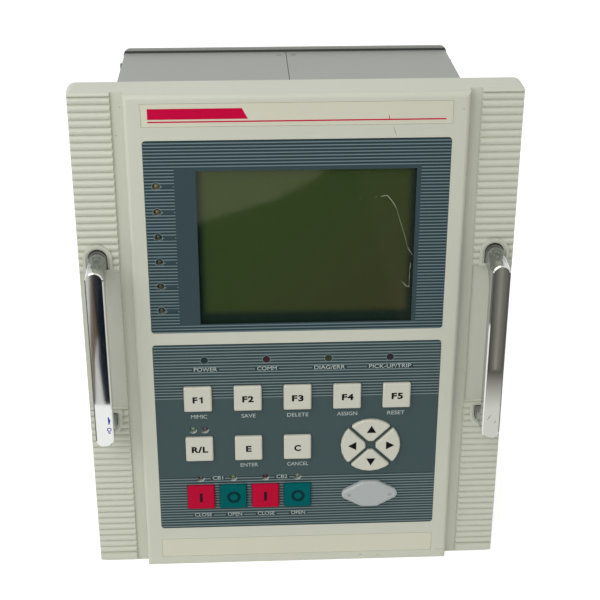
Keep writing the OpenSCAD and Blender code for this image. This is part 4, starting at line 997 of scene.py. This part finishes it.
class RELAY_OT_stage(RelayOperator, bpy.types.Operator):
    """Sets the floor, the studio lights, the reflection cards and the camera"""

    bl_idname = "relay.stage"
    bl_label = "Stage"

    def execute(self, context):
        scene = context.scene
        scene.view_settings.view_transform = "Standard"
        self.floor()
        self.sky(scene)
        self.cards()
        for name, (place, size, power) in LIGHTS.items():
            self.lamp(name, place, size, power)
        camera = bpy.data.cameras.new("camera")
        camera.sensor_width = 36
        camera.lens = CAMERA_LENS
        holder = put("camera", camera)
        holder.location = [c * MM for c in CAMERA_PLACE]
        holder.rotation_euler = Euler([math.radians(a) for a in CAMERA_TURN])
        scene.camera = holder
        return {"FINISHED"}

    def sheet(self, name, corners, made):
        """A flat stage piece from its corners in metres."""
        mesh = bpy.data.meshes.new(name)
        mesh.from_pydata(corners, [], [list(range(len(corners)))])
        mesh.materials.append(made)
        item = put(name, mesh)
        return item

    def seen_by(self, tree, first, *others):
        """One for rays of any of these kinds, nought for the rest."""
        path = add(tree, "ShaderNodeLightPath")
        seen = path.outputs[first]
        for kind in others:
            either = add(tree, "ShaderNodeMath", {0: seen, 1: path.outputs[kind]}, operation="MAXIMUM")
            seen = either.outputs[0]
        return seen

    def floor(self):
        # Seamless white paper: matt and very pale
        made, tree, shader, place = material("white_paper_floor", Roughness=0.9)
        fibre = add(tree, "ShaderNodeTexNoise", {"Vector": place, "Scale": 1 / (20 * MM)})
        tone = add(tree, "ShaderNodeMapRange", {"Value": fibre.outputs["Fac"], "To Min": 0.9, "To Max": 0.93})
        tree.links.new(tone.outputs[0], shader.inputs["Base Color"])
        seen = self.seen_by(tree, "Is Camera Ray", "Is Glossy Ray")
        lift = add(tree, "ShaderNodeMath", {0: seen, 1: FLOOR_LIFT}, operation="MULTIPLY")
        shader.inputs["Emission Color"].default_value = (1, 1, 1, 1)
        tree.links.new(lift.outputs[0], shader.inputs["Emission Strength"])
        spread = ((-1, -1), (1, -1), (1, 1), (-1, 1))
        self.sheet("floor", [(x * FLOOR_REACH, y * FLOOR_REACH, FLOOR_Z) for x, y in spread], made)

    def sky(self, scene):
        """An even soft room, which the camera, mirrors and glass see as white."""
        world = bpy.data.worlds.new("studio")
        world.use_nodes = True
        scene.world = world
        tree = world.node_tree
        tree.nodes.clear()
        seen = self.seen_by(tree, "Is Camera Ray", "Is Glossy Ray", "Is Transmission Ray")
        soft = add(tree, "ShaderNodeBackground", {"Color": (1, 1, 1, 1), "Strength": ROOM_LIGHT})
        white = add(tree, "ShaderNodeBackground", {"Color": (1, 1, 1, 1), "Strength": ROOM_SEEN})
        both = add(tree, "ShaderNodeMixShader", {0: seen, 1: soft.outputs[0], 2: white.outputs[0]})
        add(tree, "ShaderNodeOutputWorld", {"Surface": both.outputs[0]})

    def cards(self):
        """Cards laid in front of the part that only mirrors and glass see."""
        deck = FLOOR_Z + 4 * MM
        # The edge that the navy and the pale card share
        edge = [(-137, -263), (-139, -273), (-148, -332), (-153, -378), (-170, -504), (-282, -1400)]
        # Each card's colour, its corners on the floor in millimetres and its height over the lowest card
        cards = {
            "navy_card": ("#18222F", edge + [(150, -1400), (150, -263)], 0),
            "pale_card": ("#F6F7F5", edge[:1] + [(-600, -263), (-600, -1400)] + edge[:0:-1], 0),
            "brown_card": (
                "#7A6A5A",
                [(-172, -504), (-159, -378), (-154.5, -332), (-147, -263), (-144, -263), (-151, -332),
                 (-153, -378), (-170, -504)], 1,
            ),
            "grey_card": ("#5E5C55", [(100, -302), (100, -1400), (900, -1400), (900, -302)], 1),
            "streak_card": ("#86847B", [(164, -300), (172, -300), (217, -504), (206, -504)], 2),
            "streak_core": ("#AFAEA4", [(166.2, -300), (168.8, -300), (212.5, -504), (209.4, -504)], 3),
            "haze_card": (
                "#F0F0CE",
                [(-260, -545), (-150, -550), (-78, -573), (-56, -589), (-26, -614), (1, -634), (27, -667),
                 (51, -701), (77, -757), (80, -1400), (-260, -1400)], 3,
            ),
            "near_card": ("#FDFDF4", [(100, -60), (100, -242), (400, -242), (400, -60)], 1),
            "left_card": ("#7E8082", [(-900, -262), (-230, -262), (-230, 400), (-900, 400)], 0),
            "right_card": ("#7E8082", [(900, -262), (230, -262), (230, 400), (900, 400)], 0),
        }
        # Narrow cards in even steps from the near card's tone to the grey card's
        dark, pale, tones = linear("#5E5C55"), linear("#FDFDF4"), 12
        fade, far, left, right = -242, -302, 100, 400
        deep = (far - fade) / tones
        cards = {name: (linear(code), corners, level) for name, (code, corners, level) in cards.items()}
        for k in range(tones):
            part = (k + 0.5) / tones
            tone = [p + (d - p) * part for d, p in zip(dark, pale)]
            near, back = fade + k * deep, fade + (k + 1) * deep
            cards["tone_card_%d" % k] = (tone, [(left, near), (left, back), (right, back), (right, near)], 1)
        # Each card glows with its own colour and lights nothing: light that only mirrors and glass see, laid
        # out to give the handles and the pane their reflections
        for name, (tint, corners, level) in cards.items():
            made = bpy.data.materials.new("reflection_glow_" + name)
            made.use_nodes = True
            made.cycles.emission_sampling = "NONE"
            tree = made.node_tree
            tree.nodes.clear()
            glow = add(tree, "ShaderNodeEmission", {"Color": tint, "Strength": 1})
            add(tree, "ShaderNodeOutputMaterial", {"Surface": glow.outputs[0]})
            item = self.sheet(name, [(x * MM, y * MM, deck + level * MM) for x, y in corners], made)
            for rays in ("camera", "diffuse", "shadow", "transmission"):
                setattr(item, "visible_" + rays, False)

    def lamp(self, name, place, size, power):
        """A round soft light that faces the part."""
        light = bpy.data.lights.new(name, "AREA")
        light.shape = "DISK"
        light.size = size
        light.energy = power
        holder = put(name, light)
        holder.location = place
        aim = Vector(LIGHTS_AIM) - Vector(place)
        holder.rotation_euler = aim.to_track_quat("-Z", "Y").to_euler()


class RELAY_PT_panel(bpy.types.Panel):
    bl_idname = "RELAY_PT_panel"
    bl_label = "Protection relay"
    bl_space_type = "VIEW_3D"
    bl_region_type = "UI"
    bl_category = "Relay"

    def draw(self, context):
        for group in (context.scene.relay_sizes, context.scene.relay_colours):
            box = self.layout.box()
            for name in group.__annotations__:
                box.prop(group, name)
        for step in STEPS:
            self.layout.operator(step.bl_idname)


STEPS = (
    RELAY_OT_stage, RELAY_OT_mouldings, RELAY_OT_films, RELAY_OT_window, RELAY_OT_keys, RELAY_OT_lamps,
    RELAY_OT_port, RELAY_OT_handles, RELAY_OT_case, RELAY_OT_inside, RELAY_OT_wear,
)
CLASSES = (RelaySizes, RelayColours) + STEPS + (RELAY_PT_panel,)


def register():
    for each in CLASSES:
        bpy.utils.register_class(each)
    bpy.types.Scene.relay_sizes = bpy.props.PointerProperty(type=RelaySizes)
    bpy.types.Scene.relay_colours = bpy.props.PointerProperty(type=RelayColours)


def unregister():
    del bpy.types.Scene.relay_colours
    del bpy.types.Scene.relay_sizes
    for each in reversed(CLASSES):
        bpy.utils.unregister_class(each)


def main():
    register()
    for step in STEPS:
        group, name = step.bl_idname.split(".")
        getattr(getattr(bpy.ops, group), name)()


if __name__ == "__main__":
    main()
